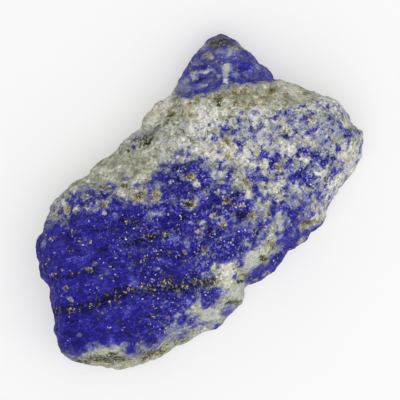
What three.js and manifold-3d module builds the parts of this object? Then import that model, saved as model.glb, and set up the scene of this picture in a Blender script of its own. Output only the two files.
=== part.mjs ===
// A rough piece of lapis lazuli: one natural stone, broken on all sides, lying on its flat base.
// Millimetres. +X runs along the stone to its broad end, +Y across it and +Z up.
// The origin is the middle of the stone's outline, on the surface that it lies on.
// The rock is layered. The layers stand nearly upright and cross the stone at LAYER_ANGLE, so its
// ridges and furrows and the step down to the peak all run that way.

import * as THREE from "three";
import { mergeVertices } from "three/addons/utils/BufferGeometryUtils.js";
import { ImprovedNoise } from "three/addons/math/ImprovedNoise.js";
import Module from "manifold-3d";

// Driving dimensions
const THICKNESS = 14.8; // the base to the highest part of the blue face
const LAYER_ANGLE = -34; // degrees from +X to the layers
const PEAK_DROP = 2.7; // the step from the mottled face down to the blue peak
const PEAK_LINE = 18.6; // how far from the origin that step is, across the layers
const ROUGHNESS = 0.46; // the height of the lumps all over the stone
const STREAK_HEIGHT = 0.34; // the height of the ridges that the layers make
const HOLLOWS = 1.5; // the depth of the hollows under the stone
const TOP_SPACING = 0.98; // the grain of the solid on the face and the sides
const BASE_SPACING = 2.2; // and under the stone

// The widest line round the stone, counterclockwise from the broad end, in stretches.
// slope is how far in the face begins, round is 1 for a rounded edge and 0 for a flat bevel,
// rim is the height of the widest line, and foot is how far in the base begins.
const STRETCHES = [
  // the broad end
  { slope: 3.0, round: 0.8, rim: 6.0, foot: 3.2, line: [
    [28.6, -11.6], [29.1, -10.4], [29.3, -7.9], [29.7, -5.8], [29.3, -3.8],
  ] },
  // the mottled edge beside the peak
  { slope: 3.6, round: 0.6, rim: 5.2, foot: 3.6, line: [
    [28.4, -1.1], [26.8, 2.4], [25.4, 5.0],
  ] },
  // the blue peak
  { slope: 2.6, round: 0.9, rim: 3.4, foot: 1.6, line: [
    [25.5, 5.9], [25.5, 7.9], [25.3, 10.3], [25.2, 12.8], [25.1, 14.3], [24.5, 15.5],
    [23.3, 16.5], [21.8, 16.9], [19.7, 16.8], [17.5, 16.2], [15.5, 15.6], [13.6, 14.9],
  ] },
  // the bevelled pale side
  { slope: 6.6, round: 0.3, rim: 6.4, foot: 3.0, line: [
    [11.8, 14.8], [9.6, 15.4], [7.6, 15.3], [5.2, 14.6], [2.3, 14.6], [-0.9, 14.8],
    [-4.4, 15.4], [-7.7, 15.5],
  ] },
  // the corner where the bevel runs out
  { slope: 4.6, round: 0.5, rim: 6.4, foot: 3.0, line: [
    [-10.7, 16.1], [-13.5, 15.8], [-15.2, 15.3],
  ] },
  // the smooth narrow end
  { slope: 2.6, round: 1, rim: 6.8, foot: 2.4, line: [
    [-16.4, 15.1], [-18.0, 14.2], [-19.6, 13.2], [-21.0, 12.0], [-22.4, 10.1], [-23.4, 7.8],
    [-24.1, 5.7], [-25.6, 3.8], [-26.7, 2.2], [-27.7, 1.3], [-28.7, 0.0], [-29.4, -1.5],
  ] },
  // the pale foot
  { slope: 2.4, round: 0.3, rim: 4.4, foot: 2.0, line: [
    [-29.6, -2.9], [-29.5, -4.4], [-28.8, -6.0], [-26.7, -8.0], [-24.9, -10.1], [-22.4, -12.0],
    [-19.4, -13.3], [-16.5, -13.8], [-13.5, -14.6],
  ] },
  // the chipped side
  { slope: 4.2, round: 0.35, rim: 4.8, foot: 2.6, line: [
    [-11.3, -15.5], [-9.4, -16.5], [-6.6, -16.6], [-4.2, -16.7], [-2.5, -16.2], [-1.0, -15.4],
    [0.3, -16.2], [2.0, -16.8], [4.2, -17.0], [5.7, -16.7], [6.9, -16.1], [9.1, -16.9],
    [10.9, -16.9], [11.9, -16.5], [13.6, -16.6], [15.0, -16.5], [16.4, -15.6], [18.6, -15.1],
    [20.1, -14.5], [22.5, -14.6], [24.7, -14.5], [26.5, -13.4], [27.8, -12.6],
  ] },
];

// Furrows on the face where softer, pyrite-rich layers have worn: their ends, width and depth
const FURROWS = [
  { from: [-22.5, 8.0], to: [-5.5, -4.2], width: 1.3, depth: 0.55 },
  { from: [-25.0, 3.6], to: [-5.0, -10.2], width: 1.5, depth: 0.65 },
  { from: [-11.5, 5.5], to: [1.0, -3.4], width: 1.2, depth: 0.45 },
  { from: [-27.0, -0.5], to: [-16.0, -8.5], width: 1.6, depth: 0.3 },
  { from: [13.5, 11.2], to: [24.0, 3.6], width: 1.2, depth: 0.35 },
];

// Lumps that stand out of the face: their place, radius and height
const LUMPS = [
  { at: [1.9, 0.8], radius: 1.6, height: 0.45 },
  { at: [-1.4, -6.0], radius: 1.3, height: 0.5 },
  { at: [9.2, -4.2], radius: 2.2, height: 0.6 },
  { at: [19.0, -10.2], radius: 2.4, height: 0.55 },
  { at: [14.6, 8.8], radius: 2.0, height: 0.5 },
  { at: [22.5, -3.0], radius: 2.6, height: 0.5 },
  { at: [-17.5, 1.2], radius: 3.0, height: 0.45 },
  { at: [-22.5, -4.0], radius: 4.2, height: 0.7 },
  { at: [12.0, -9.0], radius: 1.8, height: -0.7 },
  { at: [16.2, -4.6], radius: 1.5, height: -0.6 },
  { at: [-7.4, -4.4], radius: 1.6, height: -0.7 },
];

// Ellipsoids of rock that broke away: the middle, the three radii and the turn about Z in degrees
const CHIPS = [
  // the shell-shaped break in the bevelled side, and the cleft behind it
  { at: [3.8, 9.8, 21.2], radii: [9.8, 7.8, 10.2], turn: -14 },
  { at: [7.2, 5.9, 20.0], radii: [4.4, 5.2, 7.2], turn: -20 },
  { at: [5.8, 13.5, 10.4], radii: [6.2, 0.9, 2.6], turn: 4 },
  { at: [-5.6, 12.9, 12.9], radii: [3.6, 2.2, 3.0], turn: -30 },
  // bites out of the chipped side
  { at: [-0.9, -17.6, 10.8], radii: [1.9, 2.6, 4.2], turn: 12 },
  { at: [7.2, -18.6, 11.8], radii: [3.2, 4.1, 5.8], turn: -10 },
  { at: [13.2, -18.4, 10.4], radii: [2.8, 3.5, 4.8], turn: 20 },
  { at: [20.6, -17.3, 9.2], radii: [3.6, 3.4, 3.4], turn: 0 },
  { at: [-7.0, -18.8, 10.9], radii: [3.4, 3.5, 3.3], turn: 8 },
  // nicks in the narrow end
  { at: [-27.6, 4.6, 9.4], radii: [2.3, 2.6, 3.2], turn: 40 },
  { at: [-31.0, 0.9, 8.0], radii: [2.6, 1.8, 2.6], turn: 10 },
  // breaks under the edges
  { at: [-20.5, -13.6, 0.2], radii: [5.2, 3.2, 2.3], turn: -28 },
  { at: [8.0, -16.6, 0.0], radii: [5.6, 3.0, 2.2], turn: 4 },
  { at: [-3.5, 15.2, 0.3], radii: [6.5, 3.2, 2.4], turn: -3 },
  { at: [27.2, -1.5, 0.2], radii: [3.4, 5.0, 2.8], turn: 12 },
  { at: [17.6, 16.4, 0.0], radii: [4.2, 2.4, 1.7], turn: 10 },
  { at: [-25.8, 5.0, 0.0], radii: [3.2, 4.4, 2.5], turn: 36 },
];

// Flatter breaks across the edges: a point on each, the way it faces and how wide it is
const BREAKS = [
  { at: [15.2, -15.0, 8.8], faces: [0.2, -0.8, 0.56], width: 13 },
  { at: [-6.5, -14.9, 9.6], faces: [-0.1, -0.78, 0.62], width: 12 },
  { at: [28.3, -6.5, 9.2], faces: [0.8, -0.1, 0.6], width: 12 },
  { at: [-15.0, 14.6, 9.0], faces: [-0.36, 0.76, 0.54], width: 11 },
  { at: [27.3, -9.0, 2.4], faces: [0.72, -0.2, -0.66], width: 18 },
  { at: [-14.5, 14.4, 2.4], faces: [-0.35, 0.7, -0.62], width: 20 },
  { at: [-9.0, -15.4, 2.0], faces: [-0.05, -0.76, -0.65], width: 22 },
  { at: [-27.9, -3.2, 2.4], faces: [-0.78, -0.1, -0.62], width: 16 },
];

const perlin = new ImprovedNoise();
const layerRadians = THREE.MathUtils.degToRad(LAYER_ANGLE);
const alongLayers = new THREE.Vector3(Math.cos(layerRadians), Math.sin(layerRadians), 0);
const acrossLayers = new THREE.Vector3(-Math.sin(layerRadians), Math.cos(layerRadians), 0.22);

// Lumps of three sizes, from about -1 to 1
function lumps(p) {
  const coarse = perlin.noise(p.x / 7.5, p.y / 7.5, p.z / 7.5 + 3.1);
  const middle = perlin.noise(p.x / 3.4 + 9.7, p.y / 3.4, p.z / 3.4);
  const fine = perlin.noise(p.x / 1.7, p.y / 1.7 + 5.3, p.z / 1.7);
  return 1.1 * coarse + 0.7 * middle + 0.45 * fine;
}

// Ridges along the layers, with their crests sharper than their valleys
function streaks(p) {
  const across = p.dot(acrossLayers);
  const along = p.dot(alongLayers);
  const broad = perlin.noise(across / 2.6, along / 13, p.z / 9 + 1.7);
  const narrow = perlin.noise(across / 1.15 + 4.4, along / 6, p.z / 5);
  return 0.7 * (0.5 - Math.abs(broad) * 2) + 0.6 * narrow;
}

// How far (x, y) is from the straight line between two points
function distanceToLine(x, y, [x0, y0], [x1, y1]) {
  const length = Math.hypot(x1 - x0, y1 - y0);
  const share = ((x - x0) * (x1 - x0) + (y - y0) * (y1 - y0)) / length ** 2;
  const t = THREE.MathUtils.clamp(share, 0, 1);
  return Math.hypot(x - x0 - t * (x1 - x0), y - y0 - t * (y1 - y0));
}

// The height of the face away from its edges
function faceHeight(x, y) {
  let z = THICKNESS - 0.0027 * (x + 6) ** 2 - 0.0095 * (y + 4) ** 2;
  const pastStep = x * acrossLayers.x + y * acrossLayers.y - PEAK_LINE;
  z -= PEAK_DROP * THREE.MathUtils.smoothstep(pastStep, -1.8, 1.4);
  for (const { from, to, width, depth } of FURROWS) {
    z -= depth * Math.exp(-((distanceToLine(x, y, from, to) / width) ** 2));
  }
  for (const { at, radius, height } of LUMPS) {
    z += height * Math.exp(-((Math.hypot(x - at[0], y - at[1]) / radius) ** 2));
  }
  return z;
}

// The widest line as a curve in space, and its slope, round and foot as a second curve in step with it
const rimPoints = STRETCHES.flatMap(({ rim, line }) => line.map(([x, y]) => new THREE.Vector3(x, y, rim)));
const edgePoints = STRETCHES.flatMap(
  ({ slope, round, foot, line }) => line.map(() => new THREE.Vector3(slope, round, foot)),
);
const rimCurve = new THREE.CatmullRomCurve3(rimPoints, true, "centripetal");
const edgeCurve = new THREE.CatmullRomCurve3(edgePoints, true, "catmullrom", 0.2);
rimCurve.arcLengthDivisions = 600;

// The edge at a share of the way round
function edgeAt(share) {
  const t = rimCurve.getUtoTmapping(share);
  const rim = rimCurve.getPoint(t);
  const [slope, round, foot] = edgeCurve.getPoint(t).toArray();
  const middle = new THREE.Vector3(rim.x * 0.52, -1.2, 0);
  return { rim, slope, round, foot, middle, reach: Math.hypot(rim.x - middle.x, rim.y - middle.y) };
}

// A point of the slope from the widest line (up 0) to where the face begins (up 1)
function slopePoint(share, up) {
  const { rim, slope, round, middle, reach } = edgeAt(share);
  const inward = up ** (1 + round * 0.6) * slope;
  const p = new THREE.Vector3().lerpVectors(rim, middle, inward / reach);
  const depth = inward / slope;
  const rise = THREE.MathUtils.lerp(depth, Math.sqrt(1 - (1 - depth) ** 2), round);
  p.z = THREE.MathUtils.lerp(rim.z, faceHeight(p.x, p.y), rise);
  return p;
}

// A point of the side from the widest line (down 0) to where the base begins (down 1)
function sidePoint(share, down) {
  const { rim, foot, middle, reach } = edgeAt(share);
  const inset = foot * (1 - Math.cos((down * Math.PI) / 2)) ** 0.8;
  const p = new THREE.Vector3().lerpVectors(rim, middle, inset / reach);
  p.z = rim.z * (1 - Math.sin((down * Math.PI) / 2) ** 1.15);
  return p;
}

// Rings of points from the edge of the face, over the widest line and down to the edge of the base
const SLOPE_RINGS = 5;
const SIDE_RINGS = 5;

// Evenly spaced points all the way round, at one place on the slope or the side
function ringOf(pointAt, place, spacing) {
  const outline = Array.from({ length: 400 }, (_, i) => pointAt(i / 400, place));
  const ring = new THREE.CatmullRomCurve3(outline, true);
  ring.arcLengthDivisions = 1600;
  return ring.getSpacedPoints(Math.round(ring.getLength() / spacing)).slice(0, -1);
}

const rings = [];
for (let i = SLOPE_RINGS; i >= 0; i -= 1) {
  rings.push(ringOf(slopePoint, i / SLOPE_RINGS, TOP_SPACING));
}
for (let i = 1; i <= SIDE_RINGS; i += 1) {
  rings.push(ringOf(sidePoint, i / SIDE_RINGS, THREE.MathUtils.lerp(TOP_SPACING, BASE_SPACING, i / SIDE_RINGS)));
}

// Points in rows along the layers, a little out of line, over the flat shape that a ring encloses
function pointsInside(ring, spacing) {
  const points = [];
  const reach = Math.ceil(40 / spacing);
  for (let row = -reach; row <= reach; row += 1) {
    for (let i = -reach; i <= reach; i += 1) {
      const along = (i + (row % 2) / 2 + 0.35 * perlin.noise(i * 0.77, row * 0.83, 4.5)) * spacing;
      const across = (row + 0.3 * perlin.noise(i * 0.71, row * 0.91, 8.5)) * spacing * 0.87;
      const x = along * alongLayers.x + across * acrossLayers.x;
      const y = along * alongLayers.y + across * acrossLayers.y;
      const clear = ring.every((p, k) => {
        const next = ring[(k + 1) % ring.length];
        return distanceToLine(x, y, [p.x, p.y], [next.x, next.y]) > spacing * 0.56;
      });
      if (clear && isInside(x, y, ring)) {
        points.push(new THREE.Vector3(x, y, 0));
      }
    }
  }
  return points;
}

// Whether (x, y) lies inside a ring, seen from above
function isInside(x, y, ring) {
  let inside = false;
  ring.forEach((a, k) => {
    const b = ring[(k + 1) % ring.length];
    if ((a.y > y) !== (b.y > y) && x < a.x + ((y - a.y) * (b.x - a.x)) / (b.y - a.y)) {
      inside = !inside;
    }
  });
  return inside;
}

// The triangle over three numbered points, counterclockwise, with the circle through them
function circled(points, a, b, c) {
  const [p, q, r] = [points[a], points[b], points[c]];
  const turn = 2 * ((q.x - p.x) * (r.y - p.y) - (q.y - p.y) * (r.x - p.x));
  const qq = (q.x - p.x) ** 2 + (q.y - p.y) ** 2;
  const rr = (r.x - p.x) ** 2 + (r.y - p.y) ** 2;
  const x = ((r.y - p.y) * qq - (q.y - p.y) * rr) / turn;
  const y = ((q.x - p.x) * rr - (r.x - p.x) * qq) / turn;
  return { corners: [a, b, c], x: p.x + x, y: p.y + y, radius: Math.hypot(x, y) };
}

// Joins points into near-equal triangles: each point in turn replaces the triangles whose circles it is in
function triangulate(points) {
  const count = points.length;
  const all = [...points, { x: -500, y: -400 }, { x: 500, y: -400 }, { x: 0, y: 600 }];
  let triangles = [circled(all, count, count + 1, count + 2)];
  for (let i = 0; i < count; i += 1) {
    const { x, y } = points[i];
    const border = new Map();
    const kept = [];
    for (const triangle of triangles) {
      if (Math.hypot(x - triangle.x, y - triangle.y) >= triangle.radius) {
        kept.push(triangle);
      } else {
        const [a, b, c] = triangle.corners;
        for (const [from, to] of [[a, b], [b, c], [c, a]]) {
          const back = `${to} ${from}`;
          if (border.has(back)) {
            border.delete(back);
          } else {
            border.set(`${from} ${to}`, [from, to]);
          }
        }
      }
    }
    triangles = kept;
    for (const [from, to] of border.values()) {
      triangles.push(circled(all, from, to, i));
    }
  }
  return triangles.map(({ corners }) => corners).filter((corners) => Math.max(...corners) < count);
}

// The triangles that close a ring, over the ring and the points inside it
function capOf(ring, inner) {
  const points = [...ring, ...inner];
  return triangulate(points).filter((corners) => {
    const middle = new THREE.Vector3();
    corners.forEach((k) => middle.addScaledVector(points[k], 1 / 3));
    return isInside(middle.x, middle.y, ring);
  });
}

// One closed surface: a band of triangles between each two rings, and a cap at each end
function surfaceOver(loops, faceInner, baseInner) {
  const faces = [];
  let start = 0;
  for (let k = 0; k + 1 < loops.length; k += 1) {
    const [inner, outer] = [loops[k].length, loops[k + 1].length];
    const [innerStart, outerStart] = [start, start + inner];
    const from = (i) => innerStart + (i % inner);
    const to = (j) => outerStart + (j % outer);
    let [i, j] = [0, 0];
    while (i < inner || j < outer) {
      if (j === outer || (i < inner && (i + 1) / inner <= (j + 1) / outer)) {
        faces.push(from(i), to(j), from(i + 1));
        i += 1;
      } else {
        faces.push(from(i), to(j), to(j + 1));
        j += 1;
      }
    }
    start = outerStart;
  }
  const points = [...loops.flat(), ...faceInner, ...baseInner];
  const ringTotal = points.length - faceInner.length - baseInner.length;
  const first = loops[0].length;
  for (const corners of capOf(loops[0], faceInner)) {
    faces.push(...corners.map((k) => (k < first ? k : ringTotal + k - first)));
  }
  const last = loops.at(-1).length;
  for (const corners of capOf(loops.at(-1), baseInner)) {
    const [a, b, c] = corners.map((k) => (k < last ? start + k : ringTotal + faceInner.length + k - last));
    faces.push(a, c, b);
  }
  return new THREE.BufferGeometry().setFromPoints(points).setIndex(faces);
}

// Moves each point in or out by the lumps and streaks. The streaks stand out more on the sides, where the
// layers end. Some of the base is hollow and the rest keeps its height, so that the stone lies flat.
function roughen(geometry, height, streakHeight) {
  geometry.computeVertexNormals();
  const { position, normal } = geometry.attributes;
  const p = new THREE.Vector3();
  const n = new THREE.Vector3();
  for (let i = 0; i < position.count; i += 1) {
    p.fromBufferAttribute(position, i);
    n.fromBufferAttribute(normal, i);
    if (p.z < 1e-6) {
      p.z = Math.hypot(p.x, p.y) < 6 ? 0 : HOLLOWS * Math.max(0, lumps(p) - 0.12);
    } else {
      const steep = 1 - Math.abs(n.z);
      p.addScaledVector(n, height * lumps(p) + streakHeight * (1 + 1.1 * steep) * streaks(p));
      p.z = Math.max(p.z, 0.25);
    }
    position.setXYZ(i, p.x, p.y, p.z);
  }
  return geometry;
}

const wasm = await Module();
wasm.setup();

function solidOf(geometry) {
  const bare = new THREE.BufferGeometry().setAttribute("position", geometry.getAttribute("position"));
  bare.setIndex(geometry.index);
  const merged = mergeVertices(bare, 1e-4);
  return new wasm.Manifold(new wasm.Mesh({
    numProp: 3,
    vertProperties: merged.attributes.position.array,
    triVerts: new Uint32Array(merged.index.array),
  }));
}

// An ellipsoid with a slightly uneven surface, as the shape that a chip leaves behind
function chipSolid({ at, radii, turn }) {
  const ball = new THREE.IcosahedronGeometry(1, 5);
  ball.scale(...radii);
  ball.rotateZ(THREE.MathUtils.degToRad(turn));
  ball.translate(...at);
  const { position } = ball.attributes;
  const p = new THREE.Vector3();
  const middle = new THREE.Vector3(...at);
  for (let i = 0; i < position.count; i += 1) {
    p.fromBufferAttribute(position, i);
    p.lerp(middle, -0.07 * lumps(p));
    position.setXYZ(i, p.x, p.y, p.z);
  }
  return solidOf(ball);
}

// A block that lies outside a flatter break, with a slightly uneven face against the stone
function breakSolid({ at, faces, width }) {
  const pieces = Math.round(width / 1.5);
  const block = new THREE.BoxGeometry(width, width, 12, pieces, pieces, 1);
  block.translate(0, 0, 6);
  const { position } = block.attributes;
  const p = new THREE.Vector3();
  for (let i = 0; i < position.count; i += 1) {
    p.fromBufferAttribute(position, i);
    const high = p.z > 6 ? 12 : 0;
    const edge = Math.max(Math.abs(p.x), Math.abs(p.y)) / width;
    p.z += 11 * edge ** 2.2 + 0.45 * perlin.noise(p.x / 2.9 + at[0], p.y / 2.9, at[1]);
    position.setXYZ(i, p.x, p.y, high || p.z);
  }
  const way = new THREE.Vector3(...faces).normalize();
  block.applyQuaternion(new THREE.Quaternion().setFromUnitVectors(new THREE.Vector3(0, 0, 1), way));
  block.translate(...at);
  return solidOf(block);
}

const faceInner = pointsInside(rings[0], TOP_SPACING);
for (const p of faceInner) {
  p.z = faceHeight(p.x, p.y);
}
const baseInner = pointsInside(rings.at(-1), BASE_SPACING);

let stoneSolid = solidOf(roughen(surfaceOver(rings, faceInner, baseInner), ROUGHNESS, STREAK_HEIGHT));
for (const cutter of [...BREAKS.map(breakSolid), ...CHIPS.map(chipSolid)]) {
  stoneSolid = stoneSolid.subtract(cutter);
}

const { vertProperties, triVerts } = stoneSolid.getMesh();
const stoneGeometry = new THREE.BufferGeometry();
stoneGeometry.setAttribute("position", new THREE.BufferAttribute(vertProperties, 3));
stoneGeometry.setIndex(new THREE.BufferAttribute(triVerts, 1));
stoneGeometry.computeBoundingBox();
const { min, max } = stoneGeometry.boundingBox;
stoneGeometry.translate(-(min.x + max.x) / 2, -(min.y + max.y) / 2, -min.z);
stoneGeometry.computeVertexNormals();

const lapis = new THREE.MeshStandardMaterial({ color: 0x2b2790, roughness: 0.5, metalness: 0, flatShading: true });
const stone = new THREE.Mesh(stoneGeometry, lapis);
stone.name = "lapis_stone";

const part = new THREE.Group();
part.add(stone);

export default part;
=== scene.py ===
# A rough piece of lapis lazuli, lying on its flat side on a pale table.
# Lengths are in metres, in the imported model's frame: X along the stone and Z up.
# The markings are laid out in millimetres over the stone, as it is seen from above.

import math
import random

import bpy
import numpy as np
from mathutils import Euler, Matrix, Vector, noise
from mathutils.bvhtree import BVHTree


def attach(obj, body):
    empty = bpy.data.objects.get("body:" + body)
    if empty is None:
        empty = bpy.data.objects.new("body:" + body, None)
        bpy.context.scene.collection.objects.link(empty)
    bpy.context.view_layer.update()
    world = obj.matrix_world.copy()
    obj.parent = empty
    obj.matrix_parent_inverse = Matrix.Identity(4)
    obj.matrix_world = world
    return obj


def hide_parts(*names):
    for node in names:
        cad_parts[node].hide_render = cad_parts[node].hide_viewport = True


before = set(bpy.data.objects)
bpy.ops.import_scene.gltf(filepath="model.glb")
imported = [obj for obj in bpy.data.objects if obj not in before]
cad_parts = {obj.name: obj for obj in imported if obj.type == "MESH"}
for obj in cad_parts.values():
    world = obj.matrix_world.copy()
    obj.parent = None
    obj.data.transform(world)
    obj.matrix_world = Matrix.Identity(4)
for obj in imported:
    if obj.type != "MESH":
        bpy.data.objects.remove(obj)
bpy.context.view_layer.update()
noise.seed_set(2)  # the markings get the same ragged edges on every run

MM = 0.001
LAYER_ANGLE = math.radians(-34)  # the rock's layers, from +X
LAYER_LEAN = 0.22  # how far the layers lean over, in radians
MESH_SIZE = 0.256 * MM  # how fine the stone's surface is
LOWEST_CRYSTAL = 0.6 * MM  # no crystal stands under the stone
PATCH_ANGLE = -45  # how the patches of the markings lie, in degrees from +X
MARKING_ORIGIN = Vector((-0.28, -0.14))  # where the markings' own zero is on the stone, in millimetres

# The camera looks straight down, with the stone's long way from the lower left to the upper right
VIEW_WIDTH = 0.064
LENS = 400
SENSOR = 36
VIEW_CENTRE = Vector((0.0031, -0.0003, 0.006))

bpy.ops.object.select_all(action="DESELECT")
bpy.ops.object.camera_add(
    location=VIEW_CENTRE + Vector((0, 0, VIEW_WIDTH * LENS / SENSOR)),
    rotation=(0, 0, math.radians(-45)),
)
camera = bpy.context.object
camera.name = "camera"
camera.data.lens = LENS
camera.data.sensor_width = SENSOR
camera.data.clip_start = 0.01
bpy.context.scene.camera = camera

# The markings, in millimetres. A patch is an oval: its x, y, two radii and strength, and last its turn from
# PATCH_ANGLE, in degrees, if it has one. A band is its points, its width and its strength.

# The solid blue rock, the blue peak and the blue part of the chipped side, as outlines
BLUE_FIELD = [
    (-16.3, 14.6), (-14.9, 15.5), (-12.9, 15.7), (-10.4, 15.5), (-8.7, 14.3), (-7, 13.2), (-5.4, 12.1),
    (-4.8, 10.7), (-4.5, 8.3), (-2, 7.6), (-1.2, 8.1), (0.2, 6.9), (1.1, 7.4), (2, 7.6), (3.3, 7), (4.3, 8),
    (5.7, 7.6), (7, 6.7), (8.5, 5), (8.7, 3.6), (8, 2.5), (6.4, 0.5), (8, -1.8), (9.2, -3.4), (9.3, -4.9),
    (9.5, -6.2), (8.6, -7.6), (7.4, -7.2), (6.8, -8.5), (8.8, -8.7), (8.7, -10.4), (6.7, -11.1), (5.5, -12),
    (4, -11.3), (2, -11.9), (0.5, -12.1), (0, -10.7), (-1.4, -9.8), (-2.7, -9.8), (-4, -10.4), (-4.5, -11.7),
    (-3.8, -12.8), (-5.2, -13.5), (-6.6, -13.5), (-8, -12.9), (-8, -11.5), (-9.3, -11.2), (-10.4, -11.4),
    (-10.4, -13), (-11.2, -14.5), (-12, -13.2), (-13.2, -11.3), (-14.9, -11.2), (-16.3, -11), (-17.4, -11.4),
    (-18.6, -11.2), (-19.9, -10.5), (-21.3, -10.1), (-22.1, -9.1), (-21.6, -7.7), (-22.9, -6.4), (-24.1, -5),
    (-25.6, -4.2), (-26.9, -4.2), (-28.4, -3.8), (-29.3, -2.5), (-30.2, -0.9), (-31.1, 5), (-20.4, 16.9),
]
BLUE_PEAK = [
    (13.6, 16.9), (14.3, 15.3), (13, 14.7), (12.7, 13.7), (13.9, 12.7), (15.7, 11.1), (17.1, 10.6),
    (18.6, 10.1), (19.9, 9.2), (21.6, 7.9), (23.2, 6.6), (24.8, 5), (26.5, 4.4), (27.2, 7.8), (27.4, 14.8),
    (24.9, 18), (19.8, 18.6),
]
BLUE_SIDE = [
    (-0.5, -14.1), (0.8, -14), (2.1, -14), (3.4, -14.4), (4.3, -14.8), (5.1, -14.5), (6.2, -14.7), (7, -15.3),
    (7.5, -14.6), (6.3, -13.5), (7.2, -13.5), (8.6, -13.9), (8.6, -13), (9.5, -12.6), (10.6, -12.8),
    (11.2, -11.5), (12.2, -11), (13, -11.3), (13, -12.4), (12.4, -13.7), (11.1, -14.8), (11.9, -15.6),
    (13.2, -16.1), (14.4, -16.7), (13.4, -17.8), (11.3, -17.5), (10.1, -17.2), (8.4, -16.6), (7.1, -16.5),
    (5.9, -17.1), (3.8, -17.3), (1.6, -16.9), (0.3, -16.3), (-0.7, -15),
]

# Areas with more blue in the mottled rock, and its blue grains
BLUE_AREAS = [
    (16.7, -9.4, 3.5, 2.4, 0.5), (13.5, -13.1, 2.7, 2.2, 0.55), (12, -9.8, 1.9, 1.4, 0.5),
    (12.3, -4.1, 2.1, 1.4, 0.42), (8.6, 0.6, 2.6, 1.3, 0.45), (22.1, -10.9, 2.2, 1.6, 0.42),
    (19.2, -15, 1.1, 1.4, 0.4), (22.3, -8.4, 2.2, 1.3, 0.42), (13.9, 4.5, 2.1, 1.1, 0.5),
    (19.7, 0.3, 1.4, 1, 0.4), (10, -13.9, 2.2, 1.6, 0.5), (22.6, -0.8, 2.2, 1, 0.36),
    (27.2, -2.6, 2.2, 1, 0.34), (27.5, -8.8, 1.6, 1.1, 0.42), (-2.6, 10.9, 1.3, 0.8, 0.4),
    (-15.6, 12.6, 1.6, 1.4, 0.7), (-10.4, -13.9, 2.6, 1, 0.5), (-13.6, -10.7, 2.2, 1.3, 0.5),
    (-6.1, -16, 1.4, 1.3, 0.5), (-5.7, -11.9, 1.4, 1.1, 0.55), (-1.1, 6.7, 2.6, 1, 0.45),
    (3.4, 6.7, 1.9, 1.3, 0.5), (23.8, -4.6, 1.9, 1.1, 0.4), (11.3, -8, 1.3, 1.3, 0.5, 45),
    (-14.1, -13.1, 2.2, 0.8, 0.5, 25), (11.3, -11.4, 2.2, 2.9, 0.55), (17.2, -8.3, 1.8, 1.3, 0.5),
    (22.1, 10.6, 5.8, 1.1, 0.75, -5), (21.3, -8.9, 2.2, 1.6, 0.5), (22.1, -4.1, 2.2, 1.3, 0.35),
    (15.8, -3.5, 1.4, 1.9, 0.35), (26.6, -8.6, 1.6, 1.3, 0.4), (18.4, 0.2, 1.9, 1.1, 0.3),
    (14.9, 4.2, 2.6, 1.3, 0.3), (7.2, 0.1, 2.6, 1.6, 0.5), (9.4, -4.3, 1.9, 1.3, 0.4),
    (13.9, -4.3, 1.6, 1.6, 0.4, 45), (16.7, -7.1, 2.2, 1.4, 0.45), (14.7, -11.4, 3.2, 1.9, 0.4),
    (18.7, -13.1, 1.1, 1.3, 0.4),
]
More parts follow.
